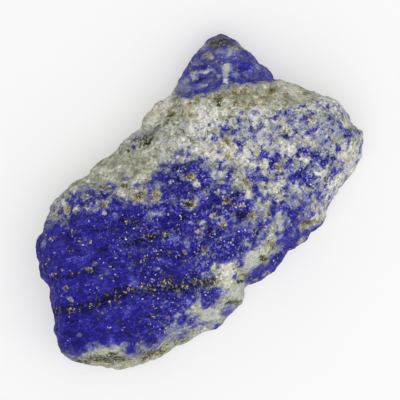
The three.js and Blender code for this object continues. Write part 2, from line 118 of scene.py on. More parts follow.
BLUE_PATCHES = [
    (15.8, -2.4, 0.7, 0.6, 1, 20), (17, -3.5, 0.4, 0.3, 0.8), (15.5, -4.1, 0.3, 0.6, 1),
    (18.7, 1.1, 0.6, 0.6, 0.8, -30), (19.8, 0.9, 0.3, 0.3, 0.7, 45), (19.8, -0.5, 0.4, 0.3, 0.8),
    (22.5, 0.2, 0.6, 0.5, 0.85), (23.5, -1, 0.2, 0.2, 0.8, 45), (22.3, -0.5, 0.8, 0.3, 0.5),
    (20.1, -2.6, 0.5, 0.4, 0.8), (25.6, -1.2, 0.5, 0.2, 0.8), (28.4, -3.2, 0.6, 0.2, 0.9),
    (29.4, -5.3, 0.3, 0.2, 0.7, -30), (27.3, -5, 0.2, 0.3, 0.6), (27.5, -7, 0.8, 0.6, 0.55),
    (27.6, -9.4, 0.6, 0.8, 1), (28.9, -10.4, 0.6, 0.5, 0.6, -40), (25.5, -2.5, 0.3, 0.4, 0.7),
    (23.2, -4.8, 0.6, 0.5, 1), (24.4, -5.1, 0.5, 0.3, 1, 30), (24.1, -3.2, 0.2, 0.5, 0.8),
    (23.3, -2.6, 0.3, 0.2, 0.6), (23.5, -7.6, 0.5, 0.4, 1, 20), (24.8, -7.7, 0.2, 0.5, 0.8),
    (24.1, -8.6, 0.5, 0.2, 0.7, -20), (24.6, -10, 0.5, 0.5, 1, 45), (21.7, -8, 1, 1, 1, 45),
    (20.7, -6.3, 1, 0.4, 0.9, -20), (20, -5, 1, 0.4, 0.45), (22.6, -10.5, 1.1, 0.8, 1, 20),
    (23.1, -10.1, 0.5, 0.5, 0.9, 45), (21.2, -10.2, 0.6, 0.3, 0.9, -40), (22.3, -12.4, 0.6, 0.4, 0.9, 20),
    (21.7, -11.9, 0.3, 0.3, 0.9, 45), (19, -7.1, 0.6, 0.2, 0.9, 15), (17.5, -5.7, 0.2, 0.4, 0.8),
    (16.5, -6, 0.2, 0.4, 0.8), (18.3, -4.6, 0.3, 0.6, 0.5), (17.9, -7.8, 0.8, 0.4, 0.95, 20),
    (17, -8, 1.1, 0.5, 0.65), (17.8, -9.5, 0.8, 0.8, 1, 45), (16.6, -9.7, 0.6, 0.4, 1),
    (17.1, -10.9, 0.6, 0.6, 1, 45), (18.6, -10.7, 0.6, 0.5, 0.8), (19.1, -11.1, 0.4, 0.4, 0.9, 45),
    (12.9, -5.1, 0.6, 0.5, 1), (13.8, -5.3, 0.2, 0.2, 0.9, 45), (14.9, -6, 0.5, 0.3, 0.8),
    (12.1, -2.7, 0.8, 0.6, 0.8), (13.2, -3.2, 0.6, 0.5, 0.7), (13.9, -4.1, 0.5, 0.3, 0.6),
    (10.7, -5, 0.6, 0.6, 0.9, 45), (10.7, -5.9, 0.6, 0.5, 0.8), (11.9, -5.9, 0.4, 0.3, 0.8),
    (13.5, -9.3, 0.6, 0.6, 0.9, 45), (13.5, -8.4, 0.3, 0.2, 0.8), (11.7, -8.8, 0.8, 0.6, 0.9),
    (12.3, -9.7, 0.5, 0.5, 0.9, 45), (10.2, -9.8, 0.6, 1.1, 1), (14.8, -12.4, 0.8, 0.4, 0.9),
    (15.6, -11.4, 0.5, 0.5, 0.8, 45), (13.7, -13.1, 0.6, 0.4, 0.9, 50), (17.6, -13.2, 0.6, 0.6, 0.9, 45),
    (17, -13.2, 0.5, 0.5, 0.9, 45), (17, -14.6, 0.5, 0.2, 0.8, 50), (8.3, -12.7, 0.3, 0.3, 0.9, 45),
    (18, 4.8, 0.5, 0.3, 0.5), (9.5, 2.1, 0.5, 0.5, 1, 45), (9.3, 1.2, 0.4, 0.4, 0.75, 45),
    (9.2, -0.7, 0.4, 0.5, 1), (10.2, -0.8, 0.2, 0.3, 0.7), (14.1, 2.3, 0.5, 0.6, 1),
    (14.7, 3.7, 0.6, 0.6, 0.75), (14.5, 5.3, 0.4, 0.3, 0.85), (12.3, 5.9, 0.5, 0.4, 0.6),
    (8.6, 4.4, 0.5, 0.3, 0.7, -40), (11.2, 5.9, 0.5, 0.3, 0.4), (0.2, 14.4, 0.2, 0.2, 0.8),
    (1.2, 14.3, 0.3, 0.2, 0.7), (1.9, 13.4, 0.4, 0.3, 0.75), (-2.7, 10.7, 0.6, 0.4, 0.65),
    (-1.1, 7.4, 0.6, 0.5, 1), (-0.7, 6.7, 0.3, 0.4, 1), (-6.1, -16, 0.6, 0.6, 0.8, 45),
    (-5.4, -14.8, 0.6, 0.3, 0.9), (-4.9, -16.3, 0.6, 0.2, 0.8, 20), (-9.3, -16.4, 1, 0.3, 0.85, 40),
    (-11.2, -13.8, 0.5, 0.5, 0.6, 45), (-11.7, -12.2, 0.6, 0.5, 0.9), (-20.7, -9.5, 0.8, 0.5, 0.85),
    (-19.1, -10.6, 0.6, 0.2, 0.8, 10), (5.8, -8.1, 1, 0.6, 0.8), (12, -16.9, 1, 0.5, 0.8, 30),
    (-1.7, -12.2, 0.5, 0.5, 0.6, 45), (-4.4, -12.9, 0.6, 0.5, 0.7), (28.5, -7.8, 0.3, 0.2, 0.5),
    (17.2, -1.7, 0.3, 0.2, 0.5), (15.6, -5.1, 0.3, 0.2, 0.5), (14.8, -10.4, 0.5, 0.2, 0.45),
    (20.1, -3.7, 0.3, 0.2, 0.4), (22.1, -7, 0.3, 0.3, 0.6, 45), (15.7, 0.5, 0.3, 0.2, 0.4),
    (27.4, -2.8, 0.2, 0.2, 0.4), (22.3, -2, 0.3, 0.2, 0.5), (22.1, -4.5, 0.3, 0.2, 0.6),
    (20.5, -11.8, 0.5, 0.2, 0.6, 30), (21.8, -14.5, 0.5, 0.2, 0.6, 30), (18.9, -14.7, 0.3, 0.2, 0.6),
    (18.4, 14.7, 1.8, 0.4, 0.85, 8), (17, 13.5, 1.6, 0.6, 1, 15), (17.4, 11.9, 0.6, 0.6, 1, 45),
    (18.8, 11.9, 0.6, 0.6, 0.9, 45), (23.2, 10, 1.9, 1, 0.95), (24.9, 6.7, 1, 0.8, 1),
    (24.6, 11.3, 1.4, 0.3, 0.85, -28), (15.8, 15.5, 0.6, 0.3, 0.75), (19.3, 9.7, 0.5, 0.2, 0.8),
    (14.7, 13, 0.8, 0.5, 0.65, 10), (24.1, 14.3, 0.8, 0.4, 0.9), (19.8, 15.2, 1, 0.3, 0.6, 15),
    (20.6, 9.8, 0.8, 0.5, 0.7), (23, 7.9, 1, 0.5, 0.7), (7.6, -14, 0.6, 0.3, 0.8, 30),
    (19.2, 14.4, 0.8, 0.5, 0.6), (21.7, -9.4, 1.4, 1.1, 0.8), (21.8, -11.3, 0.8, 0.8, 0.8, 45),
    (10.5, -9.3, 0.6, 1, 0.9), (14, -8.5, 0.8, 0.6, 0.8), (17.2, 12.6, 1.1, 0.5, 0.8),
    (19, 11.7, 0.8, 0.5, 0.8), (25, 6.6, 1, 0.5, 0.9), (18.6, 1, 0.6, 0.5, 0.6), (22.3, -3.2, 0.8, 0.6, 0.6),
    (19.1, -8.6, 0.8, 0.6, 0.7), (10.3, -12.4, 0.8, 0.6, 0.8, 60), (6.3, -15.7, 1.3, 0.5, 0.8, 55),
    (-16, -11.1, 1.6, 1.1, 0.8, 30), (-3.6, -3.7, 1.3, 0.8, 0.6), (-9.7, -8.7, 1.6, 1, 0.5),
    (-10.4, -11.7, 1.3, 0.6, 0.5, 20), (17.1, 12.4, 1.3, 0.6, 0.9), (20.3, 11.1, 1.3, 0.6, 0.8),
    (22.3, 8.6, 1.3, 0.5, 0.8), (24.4, 6.9, 1.1, 0.6, 0.9), (19.2, 14.4, 1.1, 0.5, 0.7, 10),
    (25.7, -7.2, 0.8, 0.6, 0.6), (27.4, -10.1, 0.8, 0.6, 0.8), (21.2, -10.6, 0.8, 0.6, 0.6),
    (3.5, -2.5, 0.8, 0.6, 0.6), (1.7, -4.8, 0.8, 0.5, 0.6), (17.4, -8.7, 1.6, 1.4, 0.8),
    (17.3, -6.8, 1.1, 0.6, 0.7), (16.7, -11.2, 0.8, 0.8, 0.6, 45), (12.4, -2.8, 1.1, 0.6, 0.7),
    (12.9, -4.6, 1, 0.6, 0.7), (11.4, -9.7, 0.6, 1.3, 0.7), (-2.1, -9.5, 1.3, 0.8, 0.6),
    (-1.8, -11.9, 0.8, 0.8, 0.5, 45), (-10.2, -5.8, 0.8, 0.6, 0.6), (-9.1, -8.7, 1, 0.6, 0.6),
    (27.6, -9.8, 1, 0.6, 0.9), (17.8, -13.6, 0.8, 0.6, 0.7), (17.2, -10.1, 1, 0.6, 0.7),
    (16.9, 12.7, 1, 0.6, 0.9), (24.6, 7, 1, 0.6, 0.9), (12.1, -10, 0.8, 1, 0.7), (-17.3, 14.3, 0.6, 1, 0.6),
    (-12.4, 15.7, 0.8, 1, 0.4),
]

# Pale rock inside the blue
PALE_PATCHES = [
    (-8.5, 14, 1, 0.5, 0.4), (-11.3, 13.5, 0.8, 1, 0.4), (2.8, -10.9, 0.6, 0.5, 0.5),
    (0.5, -11.2, 0.8, 0.5, 0.6), (-19.8, -9.7, 1.3, 0.6, 0.5), (-20.8, -8, 0.8, 0.8, 0.4, 45),
    (-14.8, 14.3, 1, 0.8, 0.8), (-13.5, 14.7, 0.5, 0.8, 0.5), (-12.3, 14.9, 0.5, 1, 0.85, 20),
    (-11.2, 15.4, 0.5, 0.6, 0.8, 30), (-9.6, 15.2, 0.5, 0.5, 1, 45), (-12.9, 13.5, 0.6, 1, 0.9),
    (-14.8, 13.4, 1, 0.5, 0.7), (-11.3, 13, 0.6, 0.8, 0.8), (-9.7, 11.7, 0.6, 0.5, 0.6),
    (-9.7, 10.7, 0.5, 0.3, 0.7), (-8.5, 11.1, 1, 0.5, 0.6), (-7.7, 10.1, 1, 0.8, 0.9),
    (-6.7, 10.2, 0.5, 0.5, 0.8, 45), (-6.2, 11.1, 0.6, 0.3, 0.4), (-9.4, 13.1, 0.5, 0.5, 0.4, 45),
    (-8.5, 12.7, 0.3, 0.3, 0.5, 45), (-4.6, 9.5, 0.8, 0.6, 0.9), (-8, 7.5, 0.6, 0.6, 0.55, 45),
    (-2.9, 7.1, 1.4, 1.1, 1), (-1.1, 5.3, 1, 1, 1, 45), (-0.2, 5.8, 0.5, 0.6, 0.9),
    (-3.1, 3.2, 1.3, 0.6, 0.6), (-4.3, 3.5, 1.3, 0.8, 0.3), (5.2, 7.1, 1, 0.8, 0.4),
    (6.1, 6.4, 0.5, 0.6, 0.5), (4.2, 7, 0.5, 0.5, 0.4, 45), (4.4, 4.1, 0.8, 0.4, 0.5),
    (5.3, 3.2, 0.6, 0.8, 0.7), (4.8, 1.9, 0.5, 0.5, 0.95, 45), (0.9, 5.3, 0.8, 0.6, 0.4),
    (0.6, 4.5, 0.6, 0.5, 0.5), (0.7, 3.5, 0.5, 0.5, 0.6, 45), (0.3, 2.5, 0.5, 0.3, 0.6),
    (3.2, 0.6, 0.5, 0.6, 0.7), (4.8, 0.1, 0.6, 0.5, 0.6), (4, -1.1, 0.3, 0.3, 0.6, 45),
    (7.5, 1, 0.5, 0.6, 0.8), (8.1, 1, 0.8, 0.8, 0.6, 45), (8.9, 0.5, 0.4, 0.3, 1), (7.9, -0.6, 0.5, 0.3, 0.8),
    (5.9, -1.5, 0.5, 0.5, 0.7, 45), (6.9, -2, 0.4, 0.3, 0.8), (4.8, -3.1, 0.5, 0.2, 0.8),
    (5.1, -4.5, 0.3, 0.3, 0.9, 45), (3.2, -4, 0.6, 0.6, 0.6, 45), (4.4, -6.3, 0.6, 0.5, 0.4),
    (0, -1.9, 0.6, 0.3, 0.6, 15), (1.4, -2.8, 0.5, 0.5, 0.7, 45), (0.6, -3.6, 0.3, 0.3, 0.5, 45),
    (1.6, -5.5, 0.5, 0.2, 0.4, 20), (2.9, -7.6, 1.3, 0.6, 0.45, 10), (4.9, -8.8, 0.3, 0.3, 0.7, 45),
    (5.5, -10, 0.3, 0.2, 0.8), (5.8, -10.9, 0.3, 0.3, 0.8, 45), (4.3, -9.8, 0.3, 0.3, 0.8, 45),
    (5.7, -6.9, 0.8, 0.5, 0.3), (-1.6, -6.2, 0.6, 0.6, 0.6, 45), (-3.4, -4, 0.4, 0.6, 0.5),
    (9.5, -4.9, 0.5, 0.8, 0.9), (10, -3.7, 0.6, 0.5, 0.7), (-1.8, -11.2, 1, 1, 0.9, 45),
    (-0.7, -10.7, 1, 0.5, 0.8, 20), (-3.6, -12.1, 0.5, 0.5, 0.5, 45), (-2.5, -12.3, 0.5, 1.3, 0.9, -30),
    (-2.5, -9.2, 0.4, 0.6, 0.7), (-4.5, -8.7, 0.5, 0.3, 0.5), (-8.7, -11.5, 1, 0.5, 0.8, 20),
    (-7.6, -11.8, 0.5, 0.5, 0.7, 45), (-9.5, -11.4, 0.5, 0.5, 0.8, 45), (-11.9, -10.6, 0.6, 0.5, 0.8),
    (-12.4, -10.5, 0.5, 0.3, 0.7), (-10.5, -11.3, 0.5, 0.3, 0.7), (-15, -9.5, 0.8, 0.6, 0.55),
    (-16.4, -7.9, 0.5, 0.6, 0.35), (-19.5, -9.4, 1.9, 0.6, 0.4), (-16.4, -10.9, 0.8, 0.6, 0.4),
    (-19.1, -8.1, 0.8, 0.6, 0.25), (-6.8, -10.3, 1, 0.6, 0.4), (-9.4, -7.9, 1, 0.5, 0.45),
    (-15.8, 2.1, 1.6, 0.6, 0.42, 15), (-19.5, 4, 0.4, 0.5, 0.5), (-22.2, 3.1, 0.8, 0.2, 0.6, -50),
    (-19.3, -2.5, 1.4, 0.4, 0.45), (-18, -2.7, 0.5, 0.5, 0.5, 45), (-25.2, -1.8, 0.6, 0.3, 0.5),
    (-14.6, 7.9, 1.1, 0.6, 0.3), (-19.2, 12.3, 0.6, 0.6, 0.5, 45), (-14, 10.3, 0.2, 0.2, 0.7),
    (-14.8, 11.5, 0.3, 0.2, 0.6), (-16.1, 5.3, 0.3, 0.3, 0.5, 45), (-10.6, -2.4, 0.3, 0.6, 0.5),
    (-9.1, -3.1, 0.3, 0.2, 0.7), (20.6, 15.5, 0.8, 0.3, 0.7, 15), (20.7, 14.9, 0.4, 0.3, 0.8),
    (18.4, 15.8, 0.6, 0.4, 0.45), (22.4, 14.4, 0.8, 0.4, 0.55), (23.2, 13.1, 0.8, 0.3, 0.8, 50),
    (17.4, 14.6, 1, 0.2, 0.65, 10), (18.7, 13.6, 1, 0.3, 0.9, 8), (16.5, 14.6, 0.6, 0.5, 0.6),
    (21.3, 11.7, 1, 0.6, 0.95), (20.6, 11.2, 0.5, 0.6, 0.85), (19.7, 10.3, 0.4, 0.6, 1),
    (19.5, 11.7, 0.3, 0.3, 0.5, 45), (16.6, 12.4, 1.1, 0.4, 0.65, 20), (21.4, 9.7, 0.3, 0.3, 0.5, 45),
    (23, 8.8, 0.8, 0.5, 0.3), (24.1, 11.5, 0.8, 0.2, 0.4, -20), (24.9, 8.5, 0.8, 0.2, 0.5, -45),
    (14, 14.6, 0.6, 0.6, 0.5, 45), (15.2, 15, 0.6, 0.3, 0.6), (24.3, 12.9, 1, 0.3, 0.6, -30),
    (23, 15.8, 1.3, 0.5, 0.5, 15), (24.2, 15.7, 1.3, 0.3, 0.4), (3.8, -13.5, 0.6, 0.5, 0.8),
    (2.4, -16.1, 0.6, 0.3, 0.8, 30), (7.9, -14.4, 0.5, 0.3, 0.5), (12.1, -14.7, 0.6, 0.6, 0.8, 45),
    (10, -14.8, 0.3, 0.3, 0.4, 45), (5, -15.7, 0.3, 0.2, 0.5), (0.7, -15.5, 0.5, 0.3, 0.5),
    (10.3, -16.3, 0.8, 0.4, 0.8, 40), (12.3, -13.1, 0.3, 0.3, 0.4, 45), (8.3, -6.3, 0.3, 0.3, 0.5, 45),
    (7.5, -5.5, 0.5, 0.3, 0.5), (4.4, -7.5, 0.3, 0.2, 0.4), (3.2, -5.3, 0.5, 0.6, 0.5),
    (5.2, -8, 1.3, 0.8, 0.6), (3.1, -10.9, 1, 1, 0.55, 45), (-5.2, -11.4, 1.4, 1, 0.45),
    (-10.4, -13.9, 1.1, 0.6, 0.5), (6.4, 6.1, 2.2, 0.6, 0.7, 12), (4.2, 7.5, 1.6, 0.6, 0.6, 20),
    (14.8, 14.9, 0.6, 0.8, 0.5), (25.5, 12.9, 0.8, 0.5, 0.4, -40), (-1.5, -10.6, 0.6, 0.6, 0.4, 45),
    (21.5, 9.8, 0.6, 0.5, 0.4), (11.5, 0.6, 1.1, 0.8, 0.8), (7.6, 3.2, 0.8, 0.6, 0.6),
    (15.3, -1.1, 0.6, 1, 0.6), (-10.2, -6.2, 0.5, 0.6, 0.3), (-21.2, 0.7, 0.6, 0.3, 0.3),
    (9.4, 9.3, 4.2, 1.3, 0.75, -10), (9.1, 4.9, 2.4, 0.8, 0.65, -20), (17.8, 1.8, 0.6, 1.3, 0.6),
    (17, -1.5, 1.3, 1, 0.5), (18.7, -4.3, 1.1, 1, 0.7), (10.6, 0.8, 1.1, 0.8, 0.7),
    (-2.4, 5.4, 1.9, 0.6, 0.6), (-7.5, 9.4, 2.2, 0.5, 0.4), (1.2, 0.5, 0.8, 0.6, 0.7),
    (14.4, 13.8, 1, 0.6, 0.5), (23.1, 13.2, 1.3, 0.5, 0.5), (21.2, 16.7, 0.6, 0.6, 0.5, 45),
    (-0.2, -3.7, 0.8, 0.8, 0.4, 45), (25.2, -12.2, 1.4, 1.3, 0.6), (26.8, -2.7, 1.3, 0.8, 0.5),
]

# Bright cream and white rock, and painted light on some edges
# Along the steep edge at the broad end, on its -Y side, the patches are partly cream rock and partly painted
# light that lifts the edge where it slopes away from the lamp
CHALK_AND_LIT_EDGE_PATCHES = [
    (13.5, 9.5, 1.3, 0.7, 1, -15), (14.8, 8.1, 0.8, 0.6, 0.7), (16.1, 6.7, 0.5, 0.6, 1),
    (12.8, 12.4, 0.4, 0.6, 0.8), (14.8, 10.2, 0.8, 0.6, 0.6), (12.4, 8.3, 1.1, 1, 0.7),
    (17.1, 7.9, 0.6, 0.6, 0.5, 45), (19.7, 10.3, 0.3, 0.5, 1), (19.3, 3.4, 0.8, 0.8, 0.8, 45),
    (20.6, 3.1, 0.6, 0.5, 0.8), (20.6, 0.3, 0.6, 0.6, 0.8, 45), (21.3, -1.5, 0.5, 0.3, 0.7),
    (27.2, -3.5, 0.8, 0.5, 0.8), (24.4, -2.8, 0.3, 0.3, 0.9, 45), (26.1, 0.7, 0.5, 0.5, 0.6, 45),
    (25.6, 4, 0.8, 0.6, 0.7), (13.8, -0.3, 1.3, 0.8, 0.8), (12.9, -1.2, 1.6, 0.6, 0.8),
    (14.7, -3.5, 0.8, 0.5, 0.7), (13.4, -4.2, 0.6, 0.5, 0.8), (13.4, -7.1, 0.6, 1, 1, 20),
    (14.9, -8.7, 1, 0.5, 0.4, -40), (14.9, -7.4, 0.5, 0.3, 0.5), (19.8, -7.5, 0.6, 0.6, 0.8, 45),
    (19.9, -10.7, 1, 0.4, 1, 5), (24.7, -11.7, 1.1, 0.8, 0.9), (24.3, -13.4, 1.1, 1.3, 0.85),
    (21.7, -13.5, 1.1, 0.6, 0.9, 40), (20, -13.6, 1, 0.6, 0.7, 40), (15.3, -14.9, 1.3, 0.5, 0.7, 20),
    (15, -13.8, 0.6, 0.6, 0.7, 45), (-1.8, -11.2, 1, 0.8, 1), (-0.7, -10.7, 1, 0.5, 0.9, 20),
    (-2.6, -15.2, 0.5, 0.5, 0.8, 45), (-7.5, -14.4, 0.5, 0.5, 0.6, 45), (-4.3, 13.7, 1.3, 0.8, 0.6),
    (-5.3, 14.9, 1.1, 0.6, 0.5), (-1.8, 12.3, 1.1, 0.6, 0.5), (5.4, 9.8, 1, 0.5, 0.6, 10),
    (6.2, 9.1, 0.6, 0.5, 0.6), (4.1, 11, 0.6, 0.2, 0.7, 45), (8.6, 14.6, 1.1, 1, 0.9, 60),
    (8, 12.9, 0.8, 0.5, 0.6, 20), (4.4, 8.6, 0.4, 0.6, 0.8), (-0.5, 8.9, 0.8, 0.5, 0.7),
    (-1.8, 9.2, 0.6, 0.5, 0.8), (-1.7, 10.6, 0.5, 0.6, 0.5), (-7.2, 14.6, 0.3, 0.3, 0.8, 45),
    (-9.6, 15.2, 0.4, 0.4, 1, 45), (4.8, 1.9, 0.5, 0.5, 0.9, 45), (0, -1.9, 0.5, 0.3, 0.4, 15),
    (1.4, -2.8, 0.5, 0.5, 0.6, 45), (8.9, 0.5, 0.3, 0.3, 1, 45), (9.5, -4.9, 0.4, 0.8, 0.9),
    (6.9, -2, 0.3, 0.3, 0.8, 45), (-12.3, 14.9, 0.4, 0.6, 0.8, 20), (-11.3, 13, 0.5, 0.6, 0.5),
    (-13, 13.4, 0.5, 0.6, 0.5), (-4.6, 9.5, 0.6, 0.5, 0.7), (-2.6, -9.3, 0.3, 0.5, 0.8),
    (-11.9, -10.6, 0.5, 0.3, 0.8), (-9.5, -11.4, 0.5, 0.3, 0.8), (18.7, 13.6, 0.8, 0.2, 0.4, 8),
    (-22.5, -7.2, 0.8, 0.5, 0.6), (-2.5, -12.6, 0.5, 1, 0.8, -30), (26.6, -10.4, 1, 0.5, 0.5),
    (27.2, -8, 0.6, 0.3, 0.5), (19.8, -4.5, 0.5, 0.3, 0.4), (18.8, -0.1, 0.6, 0.5, 0.4),
    (12, 3.5, 0.6, 0.3, 0.3), (7.6, 8.1, 0.8, 0.5, 0.4), (9.4, 8.6, 0.8, 0.3, 0.5, -45),
    (29.4, -4.6, 0.6, 0.6, 0.5, 45), (17.9, -14.6, 0.6, 1.3, 0.7, -25), (15.7, -15.4, 1, 0.6, 0.7),
    (19.8, 2.3, 1.3, 0.8, 0.5), (26.5, -12.6, 0.8, 1.3, 0.6), (26, -0.1, 1.6, 0.6, 0.4),
    (28.9, -5.2, 1, 0.8, 0.5), (22.4, -1.9, 1, 0.6, 0.6), (23.2, -6.3, 0.8, 0.6, 0.6),
    (20.9, 0.5, 1.1, 0.6, 0.7), (25.6, -10.5, 0.8, 0.6, 0.5), (14.4, -14, 1, 0.6, 0.7),
    (15.7, -9.7, 0.6, 0.5, 0.5), (14.6, -14.3, 1.1, 1, 0.8), (15.6, -9.6, 1.1, 0.8, 0.6),
    (28.7, -3.5, 1.3, 1, 0.7), (26, 2.1, 2.2, 0.8, 0.6, -20), (28.3, -7.8, 0.8, 0.8, 0.6, 45),
    (25.8, -10.5, 0.8, 0.6, 0.6), (26, -12.8, 0.6, 1, 0.6), (10.6, 7.8, 1.1, 0.8, 0.6),
    (13.6, 6.7, 1.1, 0.6, 0.6), (14.9, 5.1, 1, 0.6, 0.6), (20.9, 0.2, 1, 0.6, 0.6),
    (22.1, -2.3, 0.8, 0.6, 0.6), (22.6, -6.2, 1, 0.8, 0.7), (26.7, -2.1, 1.3, 0.8, 0.5, -25),
    (20, -14, 1, 1.3, 0.5, -30), (14.7, -0.1, 0.8, 1.1, 0.5), (8.4, 11.2, 1.3, 0.8, 0.4, 40),
    (25.5, -12.7, 1, 1.1, 0.6), (2.6, -12.2, 0.8, 1, 0.5, -40), (25.3, -12.1, 1.3, 1.4, 0.8),
    (24.2, -12.6, 1, 1.1, 0.6), (21.5, -13.2, 1.1, 1, 0.6, -30), (18.6, -14.4, 1, 1, 0.6, 45),
    (7, 14.8, 1.3, 1.9, 0.5, -45), (10.2, 14.6, 1, 1, 0.5, 45), (11.7, 2.5, 3.2, 0.8, 0.6, -10),
    (13.2, 8.6, 1.6, 1, 0.5), (10.9, 8.5, 1.9, 0.8, 0.7), (8.7, 5.2, 1.9, 0.8, 0.5, -20),
    (18.6, -4.4, 1, 0.8, 0.8), (19, -8.5, 0.6, 0.6, 0.6, 45), (15.7, -7.9, 0.8, 0.6, 0.6),
    (25.8, -10.5, 1.1, 1, 0.8), (17.9, 2.4, 0.5, 1.3, 0.8), (14, 5.3, 1.1, 0.6, 0.7),
    (21.4, 0.5, 0.6, 0.8, 0.7), (24.4, -0.6, 1, 0.6, 0.7), (29.2, -5.3, 1.3, 1, 0.6, -30),
    (29.1, -7.7, 1, 1, 0.6, 45), (15, -14.5, 1, 1, 0.7, 45), (1.7, -11.5, 0.8, 1, 0.5),
    (3.7, -10.6, 0.8, 0.8, 0.5, 45), (-3.6, -11.7, 1, 0.6, 0.5), (-4.5, -13, 0.8, 0.6, 0.5),
    (5.4, 6.4, 1.6, 0.5, 0.5, 10), (11.8, -9.2, 0.3, 0.8, 0.7, -10), (16.5, -12.3, 0.5, 0.6, 0.5),
    (24.2, -13.7, 1, 1, 0.6, 45), (21.7, -13.9, 1, 0.8, 0.6, -30), (16.3, -14.4, 0.6, 0.6, 0.5, 45),
    (21.6, 12, 0.6, 0.3, 0.5), (26, 8.5, 0.6, 0.2, 0.4, -45),
]
CHALK_AND_LIT_EDGE_BANDS = [
    # The first band is partly white rock and partly a painted highlight along the raised edge of a small step
    ([(9.4, 5.9), (9.8, 3.8), (11.3, 2.1), (13.5, 0.9), (14, -1.2)], 0.56, 0.8),
    ([(2.4, 11.1), (4.9, 10.9), (6.3, 10.5)], 0.19, 0.6),
]

# Smooth, cloudy calcite
MILKY_PATCHES = [
    (2.5, -12.8, 1.8, 1, 1, 50), (9.6, -12, 1.1, 0.5, 0.8, 65), (-2.6, -14.7, 1.1, 1.1, 0.9, 45),
    (-8.6, -14.1, 1.4, 1.1, 1, 30), (17.3, 0.2, 1.8, 1, 0.6), (26.2, -6, 1.1, 1.1, 0.5, 45),
    (-24.7, -5.5, 1.8, 0.4, 0.5, 10), (-22.5, -7.2, 0.8, 0.5, 0.6), (-14, -12.6, 1.3, 0.6, 0.5, 20),
    (18.9, -5.9, 0.5, 1, 0.3), (9.8, -6.8, 0.5, 0.6, 0.6), (14.9, -13.5, 0.6, 0.5, 0.3),
    (10.4, -11, 0.6, 1.3, 0.8, -15), (2.9, -12.3, 1, 1.3, 0.5, -40),
]

